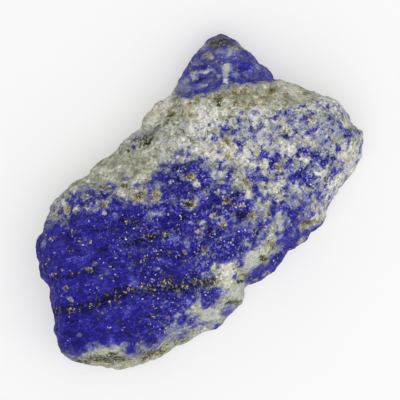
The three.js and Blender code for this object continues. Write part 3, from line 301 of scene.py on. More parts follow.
# Olive-brown rock
OLIVE_PATCHES = [
    (16.9, 9.3, 0.8, 0.8, 1, 45), (12.6, 11.8, 0.8, 0.5, 0.9), (11.8, 11, 0.6, 1, 0.6),
    (14.4, 11.5, 0.6, 0.5, 0.7), (15.6, 10.5, 0.5, 0.6, 0.5), (20, 7.5, 1.6, 1, 0.75),
    (18.2, 6.8, 0.8, 0.6, 0.75), (19.3, 5.7, 1, 0.5, 0.75), (20.8, 4.2, 1, 0.6, 0.8),
    (21.6, 5.9, 0.6, 0.6, 0.6, 45), (23.5, 4.2, 0.8, 0.6, 1), (23.4, 3.2, 0.6, 0.6, 0.7, 45),
    (24.6, 2, 0.6, 0.6, 0.7, 45), (23.8, 1.2, 0.6, 0.5, 0.5), (27.5, 0, 0.6, 0.3, 0.7),
    (24.9, 0.6, 0.5, 0.3, 0.6), (20.8, -2.1, 1, 0.6, 0.6), (21.6, -5.2, 1.3, 0.5, 0.6),
    (25, -3.6, 0.5, 0.3, 0.9), (24.9, -8.3, 0.5, 0.4, 0.8), (25.8, -12.1, 0.5, 0.3, 0.8),
    (24.3, -12.2, 0.6, 0.5, 0.4), (15.7, -0.9, 0.5, 0.5, 0.8, 45), (18.6, -3.3, 0.3, 0.3, 0.7, 45),
    (14.7, -1.7, 0.5, 0.5, 0.6, 45), (15.8, -5.5, 0.6, 0.6, 0.8, 45), (21.5, -11, 0.6, 0.2, 0.9, 20),
    (23, -11.5, 0.3, 0.2, 0.7), (19.7, -11.9, 0.3, 0.6, 0.9), (10.4, -8, 0.5, 0.5, 0.8, 45),
    (9.3, -9.4, 0.4, 0.5, 0.9), (7.4, -10.4, 0.5, 0.5, 0.6, 45), (7.5, -7.8, 0.8, 0.6, 0.8),
    (16.3, -13.7, 0.5, 0.3, 0.9), (12.8, -14.7, 1.3, 0.6, 0.8, 10), (14.1, -15.4, 0.8, 0.4, 0.7),
    (11.7, -15.2, 0.5, 0.6, 0.6), (13, 3.2, 0.6, 0.6, 0.8, 45), (11.8, 1.7, 0.6, 0.5, 0.8),
    (11.5, 0.8, 0.8, 0.3, 0.6), (17.8, 4.1, 0.5, 0.5, 0.9, 45), (10.2, 12.8, 0.5, 0.8, 0.7, -40),
    (4.8, 12.6, 1, 0.8, 0.6, 30), (-7.9, 10.1, 0.8, 0.6, 0.9), (-3.1, 7, 1.3, 1, 0.85),
    (-1.2, 5.2, 1, 0.8, 0.85), (-3.7, 10, 0.5, 0.5, 1, 45), (-6, 12, 0.8, 0.4, 0.9),
    (-3.5, 8.8, 0.5, 0.6, 0.7), (-12.8, 13.6, 0.6, 0.6, 0.7, 45), (-9.8, 11.5, 0.5, 0.5, 0.7, 45),
    (-8.8, 9.2, 0.3, 0.3, 0.8, 45), (5.2, 3.3, 0.6, 0.8, 0.9), (4.4, 3.8, 0.6, 0.4, 0.7),
    (2.3, 5.1, 0.3, 0.3, 0.7, 45), (5.9, 6.4, 0.2, 0.5, 0.7), (1.7, 0.7, 1, 0.6, 0.9),
    (3.1, 1.8, 0.2, 0.5, 0.7), (6.2, -3.2, 0.8, 0.5, 0.9), (6.1, -1.5, 0.5, 0.5, 0.7, 45),
    (3.3, -3.8, 0.8, 0.5, 0.7), (3.3, -5.4, 0.6, 0.8, 0.8), (-1.7, -6.3, 0.8, 0.6, 0.8),
    (-4.2, -4.5, 0.3, 0.3, 0.8, 45), (10.4, -3.3, 0.6, 0.5, 1, -30), (7.5, -5.5, 0.5, 0.3, 0.6),
    (-5.4, -10.1, 1.3, 0.6, 0.7), (-6.6, -8.9, 0.6, 0.5, 0.6), (-3.7, -11.3, 0.5, 0.3, 0.8),
    (3.8, -13.7, 0.8, 0.5, 0.8), (2.4, -16.1, 0.6, 0.3, 0.8, 30), (0, -13.7, 0.5, 0.5, 0.7, 45),
    (23, 15.8, 1.3, 0.5, 0.9, 15), (24.4, 15.5, 1.3, 0.3, 0.6), (24.6, 13.1, 0.8, 0.3, 0.7, -30),
    (21.5, 13.7, 0.5, 0.3, 0.5), (20.6, 15.5, 0.8, 0.4, 0.4, 15), (-25.8, -7.6, 2.2, 0.6, 0.5),
    (-19.8, -12, 3.2, 0.6, 0.5, 15), (-23.3, -9.2, 1.9, 0.8, 0.4), (-21.5, 4.9, 0.5, 0.5, 0.9, 45),
    (-19.7, 7.4, 0.5, 0.2, 0.8), (-17.2, 4.9, 0.5, 0.3, 0.8), (-17.4, 12.3, 0.5, 0.3, 0.7),
    (-15.5, 4.5, 0.5, 0.3, 0.6), (-21.5, 7.8, 0.6, 0.3, 0.6), (1.5, 10.2, 1, 0.6, 0.4),
    (9.3, 10.3, 1, 0.5, 0.3, -40), (19.1, -1.6, 0.6, 0.3, 0.5), (2.7, 11.9, 1, 0.5, 0.4, 30),
    (6.2, -13.1, 1, 0.6, 0.8, 40), (-2.4, 5.4, 1.1, 0.5, 0.5), (0, -3.5, 0.6, 0.5, 0.5),
    (20.1, 6.4, 4.5, 1.3, 0.45, -6), (16.3, 8.7, 1.1, 1, 0.5), (23.5, 3.7, 1.3, 1, 0.5),
    (26.2, 0.1, 1.3, 0.6, 0.35, -20), (12.4, 11.2, 1, 1.1, 0.4),
]

# Pyrite in dark rock, in clusters and bands
PYRITE_PATCHES = [
    (16.7, 9.2, 0.6, 0.5, 0.8), (12.7, 11.7, 0.5, 0.3, 0.6), (19.8, -11.8, 0.2, 0.5, 0.8),
    (9.5, -9.4, 0.3, 0.5, 0.9), (10.5, -3.2, 0.5, 0.4, 0.7, -30), (1.7, 0.7, 0.8, 0.5, 1),
    (6.2, -3.2, 0.6, 0.4, 0.8), (3.4, -5.3, 0.5, 0.5, 0.7, 45), (-1.4, -6, 0.6, 0.5, 0.8),
    (-2.9, 7.1, 1, 0.8, 0.65), (-1.1, 5.3, 0.8, 0.6, 0.6), (-8, 10, 0.6, 0.5, 0.85),
    (-3.7, 10, 0.4, 0.4, 0.8, 45), (5.3, 3.4, 0.5, 0.6, 0.7), (2.4, 5.2, 0.2, 0.2, 0.8, 45),
    (-6, 12, 0.5, 0.3, 0.5), (-12.8, 13.6, 0.5, 0.5, 0.5, 45), (-20.1, 10.3, 0.3, 0.2, 1),
    (-20.6, 11.2, 0.3, 0.2, 0.7), (-17.4, 12.3, 0.3, 0.2, 0.6), (-16.6, 8.6, 0.2, 0.6, 0.8),
    (-19.7, 7.4, 0.4, 0.2, 0.9), (-17.2, 4.9, 0.4, 0.2, 0.8), (-15.5, 4.5, 0.3, 0.2, 0.7),
    (-14, 2.1, 0.4, 0.2, 1), (-21.5, 4.9, 0.4, 0.4, 0.9, 45), (-19.8, 1.4, 0.3, 0.3, 0.8, 45),
    (-21.2, 1.4, 0.5, 0.3, 0.7), (-19.6, -0.2, 0.3, 0.3, 0.7, 45), (-17.5, 0, 0.5, 0.3, 1),
    (-17.1, -1.6, 0.3, 0.5, 0.9), (-12.6, -3.4, 0.5, 0.3, 1), (-12.1, -4.8, 0.3, 0.3, 0.8, 45),
    (-10.1, -5.2, 0.5, 0.3, 0.9), (-12.3, -5.7, 0.3, 0.3, 0.8, 45), (-13.8, -4.4, 0.3, 0.2, 0.7),
    (-17.3, -3.2, 0.3, 0.5, 0.6), (-7.6, 6.1, 0.3, 0.3, 0.7, 45), (-6.8, 2.1, 0.3, 0.2, 0.9),
    (-9.1, 3.7, 0.5, 0.3, 0.8), (-10.4, -0.3, 0.3, 0.2, 0.7), (-4.2, -4.5, 0.3, 0.2, 0.8),
    (-1.2, -8.1, 0.3, 0.3, 0.7, 45), (6, -10.6, 0.3, 0.2, 0.8), (5.5, -10, 0.2, 0.2, 0.9, 45),
    (24.9, -8.3, 0.3, 0.2, 0.5), (12.9, -14.8, 0.6, 0.4, 0.4), (7.6, -5.7, 0.3, 0.2, 0.7),
    (2.3, -1.9, 0.5, 0.2, 0.5), (4.8, 1.7, 0.3, 0.2, 0.6), (11.4, 1.6, 0.3, 0.6, 0.7),
    (13, 3.2, 0.3, 0.5, 0.5), (25.1, -3.5, 0.3, 0.3, 0.7, 45), (-9.2, -0.2, 0.3, 0.2, 0.8),
    (-3.7, -11.3, 0.3, 0.2, 0.8), (3.7, -13.8, 0.3, 0.3, 0.4, 45), (-0.1, -13.8, 0.3, 0.3, 0.6, 45),
    (-5.2, -10.1, 0.6, 0.4, 0.7), (11.4, 0.7, 0.5, 0.2, 0.6), (25.7, -12, 0.2, 0.2, 0.4),
    (21.5, -11, 0.5, 0.2, 0.6, 20), (23, -11.5, 0.2, 0.2, 0.6), (4.9, 3.8, 1.1, 0.8, 0.5),
    (2, 0.3, 1.1, 0.6, 0.5), (-1.2, -6.1, 0.6, 0.5, 0.4), (-4, -0.7, 0.8, 0.5, 0.4), (-7, 1.9, 1, 0.5, 0.35),
    (-14.9, -2.1, 1.1, 0.5, 0.4), (-12.1, -4.8, 1.3, 0.6, 0.35),
]
PYRITE_BANDS = [
    ([(-7.5, 6), (-5.7, 4.4)], 0.32, 0.52),
    ([(-6.7, 2.9), (-6.8, 1.5)], 0.32, 0.5),
    ([(-6.7, 1.6), (-4.1, 0.1)], 0.4, 0.55),
    ([(-9.2, -0.2), (-7.5, -1.9)], 0.4, 0.5),
    ([(-17.3, -0.5), (-13.4, -3.3), (-11.3, -4.6)], 0.72, 0.34),
    ([(-11.3, -4.6), (-9.2, -5.9), (-7.2, -8.5), (-4.4, -10.6)], 0.96, 0.36),
    ([(-25.8, 4.2), (-23, 1.8), (-19.8, -0.2)], 0.64, 0.26),
    ([(-21.7, 8.3), (-19.9, 6), (-16.5, 4.4)], 0.48, 0.4),
    ([(-6.1, -4.2), (-4.8, -6)], 0.4, 0.4),
    ([(-8.5, -7), (-8, -8.4)], 0.48, 0.6),
]

# Dark stains, and painted shade in cracks and grooves
DARK_PATCHES = [
    (24.3, 14.3, 1, 0.4, 1), (22.4, 15.5, 1, 0.3, 0.8, 10), (20.3, 15.8, 0.5, 0.8, 0.5, -30),
    (16.2, 8.4, 0.5, 0.4, 0.9), (4, 6.1, 0.6, 0.6, 0.8, 45), (8.4, -3.5, 0.8, 0.5, 0.8),
    (9.1, -4.2, 0.5, 0.5, 0.7, 45), (9.5, 2.1, 0.4, 0.4, 0.9, 45), (2.3, 1, 0.3, 0.2, 0.9),
    (6.4, -6.8, 0.5, 0.5, 0.9, 45), (4.9, -2, 0.8, 0.5, 0.5), (7.8, -7, 0.6, 0.2, 0.9, 10),
    (-16.2, 7, 0.5, 0.3, 0.8), (-25.7, 3.6, 1, 0.6, 0.6), (28.1, -8.9, 0.8, 0.5, 0.6),
    (29.1, -10.2, 0.6, 0.3, 0.7, -40), (27.7, -6.8, 0.5, 0.2, 0.5), (24.1, -3.4, 0.3, 0.5, 0.8),
    (24, -5.1, 0.5, 0.3, 0.5), (20.1, -2.6, 0.4, 0.3, 0.6), (15.4, -6, 0.5, 0.3, 0.8),
    (15.5, -4.1, 0.2, 0.4, 0.6), (3.8, -13.7, 0.8, 0.5, 0.8), (-4.4, -15.6, 1.3, 0.5, 0.8),
    (-4.6, -14, 0.6, 0.3, 0.5), (5.7, -15, 0.6, 0.6, 0.5, 45), (1, -15.6, 0.8, 0.5, 0.6),
    (13, -14.7, 1.3, 0.5, 0.7, 10), (13.6, -16.9, 0.6, 0.2, 0.5, 20), (12.9, 13.9, 0.6, 0.5, 0.7),
    (11.5, 4.2, 0.5, 0.2, 0.8), (19.2, -7.4, 0.5, 0.2, 0.7), (9.1, -0.8, 0.3, 0.3, 0.6, 45),
    (6.1, -4.6, 0.5, 0.5, 0.5, 45), (3.4, -11.4, 0.5, 0.5, 0.3, 45), (-17.8, -11.8, 0.8, 0.3, 0.4),
    (-23.8, -8, 1, 0.5, 0.5), (-26.4, -6.1, 0.8, 0.6, 0.3), (-22.6, -10.3, 1.6, 0.5, 0.25),
    (5, 13.5, 0.8, 0.6, 0.5, 30), (4.8, 12.3, 0.8, 0.5, 0.8, 20), (0.9, 13.2, 0.5, 0.3, 0.6),
    (0.1, -14, 0.6, 0.4, 0.5), (-6.4, 12, 0.8, 0.3, 0.4), (-8.8, 2.4, 0.3, 0.3, 0.8, 45),
    (0.3, -4.3, 0.5, 0.3, 0.3), (-13.7, -8.1, 0.5, 0.6, 0.4), (-4.8, -8.7, 0.5, 0.3, 0.4),
    (1.5, 5.9, 0.5, 0.3, 0.3), (12, -0.1, 1.3, 0.5, 0.25), (12.9, 4.4, 1.1, 0.5, 0.35),
    (17.2, 2.4, 0.5, 0.6, 0.3), (20, 1.8, 0.5, 0.3, 0.3), (22.5, 2.3, 0.6, 0.3, 0.4),
    (2, 5.3, 0.5, 0.5, 0.2, 45), (21.9, -4, 0.5, 0.5, 0.3, 45), (6.1, -13.7, 1, 0.3, 0.7, 40),
    # The long patches along the lower side darken its steep strip: partly darker rock, partly painted shade
    (-25.3, -7.1, 4.8, 0.8, 0.8), (-19.5, -11.7, 2.9, 0.8, 0.8, 20), (-28.3, -5.1, 1.6, 0.6, 0.8),
    (-14.8, -13.8, 1.9, 0.6, 0.6, 25), (-26.4, -5, 1.9, 0.5, 0.4, 10), (21.6, -8.1, 0.6, 0.5, 0.5),
    (22.7, -10.4, 0.6, 0.5, 0.5), (1, -4.8, 0.8, 0.5, 0.7), (-0.5, -0.1, 1, 0.8, 0.5),
    (-7, 4.4, 1.6, 0.6, 0.5), (-1.9, -0.5, 0.8, 0.5, 0.4), (-10, -5.5, 1.4, 0.6, 0.4),
    (23.8, 15.3, 1.8, 0.8, 1), (-12.9, -4.6, 1, 0.6, 0.5), (-16.1, -1.9, 1, 0.6, 0.5),
    (-21, 7.1, 1.3, 0.5, 0.4), (-10.1, 6.3, 1.4, 0.5, 0.5), (-6.7, 5, 1.3, 0.5, 0.5),
    (-6.2, -1.8, 1.4, 0.6, 0.5, -20), (-6.8, -8.5, 1.9, 0.8, 0.5), (-23.6, 2.3, 1.4, 0.6, 0.5),
    (5.1, 0.5, 0.8, 0.6, 0.5), (4.4, -2.5, 1, 0.6, 0.5), (8.4, -3.3, 1.1, 0.8, 0.4),
    (-5.9, -2.6, 1.6, 0.8, 0.6, -15), (-10.4, -6, 1.9, 0.8, 0.4), (-7.6, 4.1, 1.9, 0.6, 0.4),
    (-6.3, 1.5, 1.3, 0.5, 0.4), (1.1, -1.9, 0.8, 0.6, 0.5), (1.6, -5.5, 0.8, 0.5, 0.4),
    (4.5, -4, 1, 0.6, 0.5), (-20.5, 6.3, 1.1, 0.5, 0.4), (5.1, -4.8, 0.6, 0.5, 0.4),
    (16.5, 8.7, 0.8, 0.6, 0.4), (20.3, 4.1, 0.6, 0.3, 0.4), (23.8, 4, 0.6, 0.5, 0.35),
    (20, 8.6, 0.6, 0.3, 0.3),
]
DARK_BANDS = [
    ([(-25.9, 4.1), (-23.1, 1.7), (-20.3, 0), (-18.2, -0.9)], 0.88, 0.62),
    ([(-18.2, -0.9), (-15.8, -1.7), (-13.6, -3.5), (-10.3, -5.9)], 0.88, 0.6),
    ([(-10.3, -5.9), (-7.4, -8.6), (-4.4, -10.6)], 1.28, 0.62),
    ([(-11.4, 8.1), (-9.7, 6.2)], 0.32, 0.8),
    ([(-7.9, 6.7), (-5.9, 4.2)], 0.4, 0.8),
    ([(-10.2, 3.1), (-8.1, 1.9), (-6.6, 0.8)], 0.48, 0.8),
    ([(-6.6, -1), (-5.1, -4.5)], 0.64, 0.55),
    ([(-13.9, 5.7), (-12, 4.2)], 0.32, 0.7),
    ([(-21.9, 7.6), (-19.2, 5.3)], 0.4, 0.7),
    ([(-18.4, 4.3), (-16.3, 3.3)], 0.26, 0.7),
    ([(-11.5, 0.8), (-10.2, -0.6)], 0.32, 0.7),
    ([(-6.6, 1.2), (-4.1, -0.3)], 0.4, 0.7),
    ([(-13.1, 3.3), (-11.8, 3.3)], 0.24, 0.6),
    ([(-6.1, 4), (-5.5, 2.3)], 0.32, 0.6),
    ([(-3.1, 0.5), (-2.5, -1.5)], 0.32, 0.7),
    ([(2.5, 14.1), (4, 13.1), (5.4, 12.8), (7.2, 12.8), (8.7, 12.4)], 0.29, 0.8),
    ([(2.6, 12.7), (4.3, 12.1)], 0.32, 0.7),
    ([(9.3, 12.6), (10.6, 12.6)], 0.26, 0.6),
    # Painted shadow: a dark line along the foot of the step at the scoop's edge
    ([(9.2, 9.7), (9.3, 8), (9.3, 6.7)], 0.18, 0.8),
    ([(9.1, 11.9), (9.4, 10.2)], 0.18, 0.5),
    ([(19, 14.1), (17.3, 15.6)], 0.32, 0.35),
    ([(14.9, 13.7), (17, 13.5), (18.2, 12.9)], 0.35, 0.45),
    ([(6.2, -6.1), (6.9, -7.2)], 0.48, 0.8),
    ([(-1.7, -13.4), (-0.5, -14.6), (0.3, -14.9)], 0.22, 0.9),
    ([(-23.6, -7.2), (-24.9, -8.5)], 0.13, 0.7),
    ([(-19.2, -11.4), (-16.4, -13.1)], 0.19, 0.5),
]

# Bright blue spots
BRIGHT_PATCHES = [
    (-22.2, -5.8, 0.6, 0.8, 1), (-0.7, 6.7, 0.3, 0.4, 1), (5.3, -8.4, 0.6, 0.5, 0.8),
    (-13.1, -1.9, 0.6, 0.5, 0.6), (-3.2, -3.7, 0.4, 0.5, 0.9), (4.3, -0.1, 0.6, 0.5, 0.7),
    (11.5, -10.1, 0.5, 0.5, 0.9, 45), (27.3, -8.6, 0.5, 0.3, 1), (29.4, -5.3, 0.3, 0.2, 0.7),
    (1.5, -11.1, 1, 0.5, 0.9, 30), (-1.5, -12.4, 0.5, 0.5, 0.9, 45), (-4.4, -12.9, 0.6, 0.3, 1),
    (-9.2, -10, 0.3, 0.3, 0.8, 45), (17, -14.6, 0.5, 0.3, 0.8, 50), (-20.5, -0.7, 0.3, 0.2, 0.9),
    (-16.7, 6.9, 1.4, 0.4, 0.5), (17.2, -7.8, 1.1, 0.5, 0.5), (14.7, 3.7, 0.6, 0.5, 0.4),
    (-22.2, 3.7, 0.5, 0.3, 0.9), (-17.9, 2.4, 1.9, 0.6, 0.4), (2.9, -7.4, 1.3, 0.6, 0.6, 10),
    (-15.2, 11.7, 0.5, 0.2, 0.7), (2.6, -0.9, 0.8, 0.6, 0.4), (7, -1.5, 0.6, 0.5, 0.5),
    (-4.9, 2.5, 1.3, 0.8, 0.3), (-19.5, -1.9, 0.8, 0.3, 0.4), (12.7, -4.9, 0.8, 0.5, 0.3),
    (13.5, -9.5, 0.3, 0.5, 0.6, 30), (17.5, -13.1, 0.6, 0.5, 0.3), (-2, 3.5, 1.4, 0.5, 0.4),
    (-12.3, -0.2, 0.8, 0.5, 0.5), (17.2, -9.6, 0.8, 0.8, 0.25, 45), (22.2, -12.3, 0.6, 0.3, 0.5),
    (18.6, 1, 0.5, 0.5, 0.4, 45), (3.1, -15.6, 1.4, 0.6, 0.3, 30), (-6.1, -16, 0.6, 0.6, 0.7, 45),
    (25.1, 6.7, 0.8, 0.5, 0.6), (17.6, 11.9, 0.8, 0.6, 0.3), (23.4, 10.2, 1.3, 0.6, 0.2),
    (-6.2, -6.3, 1.3, 0.6, 0.3), (-8.1, -2.6, 1.3, 0.6, 0.35), (-19.2, 5.5, 2.2, 1.4, 0.35),
    (-12.4, -6.9, 1.9, 0.8, 0.4, 5), (-20.6, -3.7, 2.2, 1.3, 0.25), (-13.9, 1.8, 1.9, 1, 0.35, 5),
    (-17, -4.6, 1.6, 0.8, 0.3), (-27.2, 1, 0.8, 1.6, 0.3), (-22.4, 5.3, 2.2, 3.2, 0.3),
    (-15.8, 6.7, 1.9, 1, 0.25), (-2.6, -8.8, 1.3, 1, 0.4), (-11.3, -8, 2.6, 1.3, 0.3),
    (9.1, -1.2, 1.3, 1, 0.3), (16.9, -6.3, 1.3, 0.8, 0.4), (16.7, -9.4, 1.1, 0.8, 0.4),
    (11.9, -9.7, 1, 1, 0.5, 45), (-2.5, -3.3, 1, 0.8, 0.5), (-5.2, -5.5, 1.1, 0.8, 0.5),
    (-9.1, 1, 1.9, 0.6, 0.3, 5), (-11.3, 5.5, 1.9, 0.8, 0.3, 5), (-13.2, -2, 1, 0.8, 0.6),
    (-9.6, -9.7, 1.4, 0.8, 0.5), (-17.8, 7, 1.6, 0.6, 0.3), (-21.7, -2.6, 2.2, 1.3, 0.25),
    (-18.1, 11.2, 1.6, 2.2, 0.3), (-21.5, 6.2, 1.9, 1.6, 0.35), (-1.7, -10.9, 1.1, 0.8, 0.5),
    (3.8, -6.9, 1, 0.8, 0.5), (4.5, -10.3, 1.3, 0.8, 0.4), (9.5, -14.4, 1.3, 0.6, 0.4, 40),
    (15.8, -13.7, 1, 0.8, 0.5), (12.8, -10.6, 0.8, 1.1, 0.5), (16.7, -8.9, 1.3, 1, 0.4),
    (22.2, 12.3, 1.6, 0.6, 0.3), (24.4, 7.8, 1.6, 1, 0.35), (16.3, 12.8, 1.3, 0.6, 0.3),
]

# Rock with many white and dark grains
SPRINKLED_PATCHES = [
    (-1.6, -11, 1.9, 1.3, 1), (-13.2, 14.9, 1.9, 2.2, 0.9, 30), (-8.6, 11.7, 4.8, 1.8, 0.9, 5),
    (-2.4, 6.6, 3.5, 1.6, 0.9), (-5.1, -9.7, 3.5, 1.1, 0.9, 5), (-15.3, -9.7, 3.2, 1.6, 0.5, 20),
    (-7.9, -11.4, 3.5, 2.2, 0.6, 30), (14.1, 10.6, 4.5, 2.2, 0.6), (-10.7, -5.2, 4.8, 1, 0.6, 5),
    (21.5, 10.7, 5.4, 2.6, 0.55), (11.9, -14.3, 3.5, 1.9, 0.5, 30),
]


def smooth(value, low, high):
    """0 below low and 1 above high, with a smooth change between them."""
    t = np.clip((value - low) / (high - low), 0, 1)
    return t * t * (3 - 2 * t)


def patches(x, y, shapes):
    """How much each point is in any of the shapes, from 0 to 1."""
    most = np.zeros_like(x)
    for cx, cy, along, across, strength, *turn in shapes:
        angle = math.radians(PATCH_ANGLE + sum(turn))
        c, s = math.cos(angle), math.sin(angle)
        u = ((x - cx) * c + (y - cy) * s) / along
        v = ((y - cy) * c - (x - cx) * s) / across
        most = np.maximum(most, strength * np.clip(1.5 - np.hypot(u, v), 0, 1))
    return most


def line_distance(x, y, points):
    """How far each point is from a line through the points."""
    least = np.full_like(x, 1e9)
    for (x0, y0), (x1, y1) in zip(points, points[1:]):
        length = math.hypot(x1 - x0, y1 - y0)
        t = np.clip(((x - x0) * (x1 - x0) + (y - y0) * (y1 - y0)) / length**2, 0, 1)
        least = np.minimum(least, np.hypot(x - x0 - t * (x1 - x0), y - y0 - t * (y1 - y0)))
    return least


def bands(x, y, lines):
    """How much each point is in any of the bands, from 0 to 1."""
    most = np.zeros_like(x)
    for points, width, strength in lines:
        near = smooth(-line_distance(x, y, points), -1.8 * width, -0.4 * width)
        most = np.maximum(most, strength * near)
    return most


def depth_inside(x, y, outline):
    """How far each point is inside a closed outline, or minus how far it is outside."""
    closed = outline + outline[:1]
    inside = np.zeros(len(x), dtype=bool)
    for (x0, y0), (x1, y1) in zip(closed, closed[1:]):
        if y0 != y1:
            inside ^= ((y0 > y) != (y1 > y)) & (x < x0 + (y - y0) * (x1 - x0) / (y1 - y0))
    return np.where(inside, 1, -1) * line_distance(x, y, closed)


def markings(places, heights):
    """The share of each kind of rock at points of the stone, from 0 to 1."""
    x, y = on_marking_plane(places, heights)
    in_peak = depth_inside(x, y, BLUE_PEAK)
    in_side = depth_inside(x, y, BLUE_SIDE)
    in_field = depth_inside(x, y, BLUE_FIELD)

    # The mottled rock ends before the narrow end and the bevelled side
    mottled = smooth(x * 0.57 + y * 0.2, 2, 8) * smooth(-x * 0.586 - y * 0.811, -15.6, -13.4)

    # More grains stand in the blue rock towards the broad end
    sprinkled = 0.6 * smooth(x - 0.2 * y, -22, 4) * smooth(in_field, -2, 0)
    sprinkled = np.maximum(sprinkled, patches(x, y, SPRINKLED_PATCHES))

    # The blue rock thins out near its edges, more slowly at the side with the peak
    fade = 2.2 + np.where(in_field > 0, 3.2, 0) * smooth(y - 0.2 * x, 3, 8)
    field = np.clip(0.54 + in_field / fade, 0, 1) * (1 - 0.06 * smooth(x - 0.25 * y, -14, 0))
    field = field - 0.14 * smooth(y - 0.35 * x, 12.5, 16)

    peak = np.clip(0.5 + in_peak / 1.2, 0, 0.66)
    side = np.clip(0.5 + in_side / 1.4, 0, 0.8)
    spread = patches(x, y, BLUE_AREAS)
    blue = np.maximum(np.maximum(field, peak), np.maximum(side, np.maximum(0.31 * mottled, spread)))
    bright = patches(x, y, BRIGHT_PATCHES)
    blue = np.maximum(blue, 0.85 * np.maximum(patches(x, y, BLUE_PATCHES), bright))
    chalk_and_lit_edges = np.maximum(patches(x, y, CHALK_AND_LIT_EDGE_PATCHES), bands(x, y, CHALK_AND_LIT_EDGE_BANDS))
    return {
        "blue": blue * (1 - 0.85 * patches(x, y, PALE_PATCHES)) * (1 - 0.5 * chalk_and_lit_edges),
        "bright": bright,
        "chalk_and_lit_edges": chalk_and_lit_edges,
        "milk": patches(x, y, MILKY_PATCHES),
        "pyrite": np.maximum(patches(x, y, PYRITE_PATCHES), bands(x, y, PYRITE_BANDS)),
        "olive": patches(x, y, OLIVE_PATCHES),
        "dark": np.maximum(patches(x, y, DARK_PATCHES), bands(x, y, DARK_BANDS)),
        "sprinkled": np.maximum(mottled * (in_peak < 0), sprinkled),
        "smooth": np.clip(0.5 + in_peak, 0, 1),
    }


def on_marking_plane(places, heights):
    """Where points lie on the drawn markings. Below the top the layers lean, and every edge is ragged."""
    x, y, z = places.T / MM
    ragged = np.array([
        noise.noise_vector(p * 0.8) * 0.35 + noise.noise_vector(p * 2.1) * 0.25
        for p in (Vector(place / MM) for place in places)
    ])
    lean = (heights / MM - z) * 0.3
    return (
        x - MARKING_ORIGIN.x - lean * math.sin(LAYER_ANGLE) + ragged[:, 0],
        y - MARKING_ORIGIN.y + lean * math.cos(LAYER_ANGLE) + ragged[:, 1],
    )


# Modelling

def only(piece):
    """Selects one object alone and makes it the active one."""
    bpy.ops.object.select_all(action="DESELECT")
    piece.select_set(True)
    bpy.context.view_layer.objects.active = piece


def apply_modifier(piece, kind, **settings):
    only(piece)
    modifier = piece.modifiers.new(kind.title(), kind)
    for name, value in settings.items():
        setattr(modifier, name, value)
    bpy.ops.object.modifier_apply(modifier=modifier.name)


def rock_texture(name, kind, size, **settings):
    texture = bpy.data.textures.new(name, kind)
    texture.noise_scale = size
    for key, value in settings.items():
        setattr(texture, key, value)
    return texture


def carve_stone():
    """The stone: the solid, cut finer, with its edges worn and its broken surface raised."""
    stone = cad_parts["lapis_stone"].copy()
    stone.data = stone.data.copy()
    stone.name = stone.data.name = "rough_stone"
    for key in list(stone.keys()):
        del stone[key]
    stone.parent = None
    bpy.context.scene.collection.objects.link(stone)
    only(stone)
    bpy.ops.object.mode_set(mode="EDIT")
    bpy.ops.mesh.select_all(action="SELECT")
    bpy.ops.mesh.remove_doubles(threshold=1e-6)
    bpy.ops.object.mode_set(mode="OBJECT")
    apply_modifier(stone, "REMESH", mode="VOXEL", voxel_size=MESH_SIZE, use_smooth_shade=True)
    apply_modifier(stone, "SMOOTH", factor=0.5, iterations=3)

    along_layers = bpy.data.objects.new("layer_guide", None)
    along_layers.rotation_euler = (LAYER_LEAN, 0, LAYER_ANGLE)
    along_layers.scale = (5.5 * MM, MM, 2.2 * MM)
    bpy.context.scene.collection.objects.link(along_layers)
    all_round = bpy.data.objects.new("lump_guide", None)
    all_round.scale = (MM, MM, MM)
    bpy.context.scene.collection.objects.link(all_round)
    bpy.context.view_layer.update()

    ridges = rock_texture("layer_ridges", "CLOUDS", 1.1, noise_depth=3)
    lumps = rock_texture("broken_lumps", "VORONOI", 1.5, distance_metric="DISTANCE_SQUARED")
    grains = rock_texture("coarse_grain", "CLOUDS", 0.42, noise_depth=2, noise_basis="VORONOI_F1")
    for texture, guide, height in [
        (ridges, along_layers, 0.42), (lumps, all_round, -0.3), (grains, all_round, 0.2),
    ]:
        apply_modifier(
            stone, "DISPLACE", texture=texture, texture_coords="OBJECT", texture_coords_object=guide,
            strength=height * MM, mid_level=0.5,
        )
    for guide in (along_layers, all_round):
        bpy.data.objects.remove(guide)

    # Nothing reaches below the surface that the stone lies on
    for vertex in stone.data.vertices:
        vertex.co.z = max(vertex.co.z, 0)
    return stone


def read_points(piece, what, width):
    values = np.empty(len(piece.data.vertices) * width)
    piece.data.vertices.foreach_get(what, values)
    return values.reshape(-1, width)


def top_heights(piece, points):
    """How high the stone's top is above or below each point."""
    tree = BVHTree.FromObject(piece, bpy.context.evaluated_depsgraph_get())
    down = Vector((0, 0, -1))
    heights = []
    for x, y, z in points:
        hit = tree.ray_cast(Vector((x, y, 1)), down)[0]
        heights.append(hit.z if hit else z)
    return np.array(heights)


stone = carve_stone()
places = read_points(stone, "co", 3)
normals = read_points(stone, "normal", 3)
shares = markings(places, top_heights(stone, places))
for name, values in shares.items():
    attribute = stone.data.attributes.new(name, "FLOAT", "POINT")
    attribute.data.foreach_set("value", values.astype(np.float32))
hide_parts("lapis_stone")
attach(stone, "root")


# Crystals that stand out of the rock

FULL_TURN = 6.3  # in radians


def crystal(name, shape, bevel):
    """One small crystal about a millimetre wide, as its corner points and faces."""
    bpy.ops.object.select_all(action="DESELECT")
    bpy.ops.mesh.primitive_cube_add(size=1)
    model = bpy.context.object
    model.name = name
    bpy.ops.object.mode_set(mode="EDIT")
    bpy.ops.mesh.select_all(action="SELECT")
    bpy.ops.transform.resize(value=shape)
    bpy.ops.mesh.bevel(offset=bevel, segments=1, affect="EDGES")
    bpy.ops.object.mode_set(mode="OBJECT")
    points = np.array([v.co[:] for v in model.data.vertices])
    faces = [tuple(p.vertices) for p in model.data.polygons]
    bpy.data.objects.remove(model)
    return points, faces


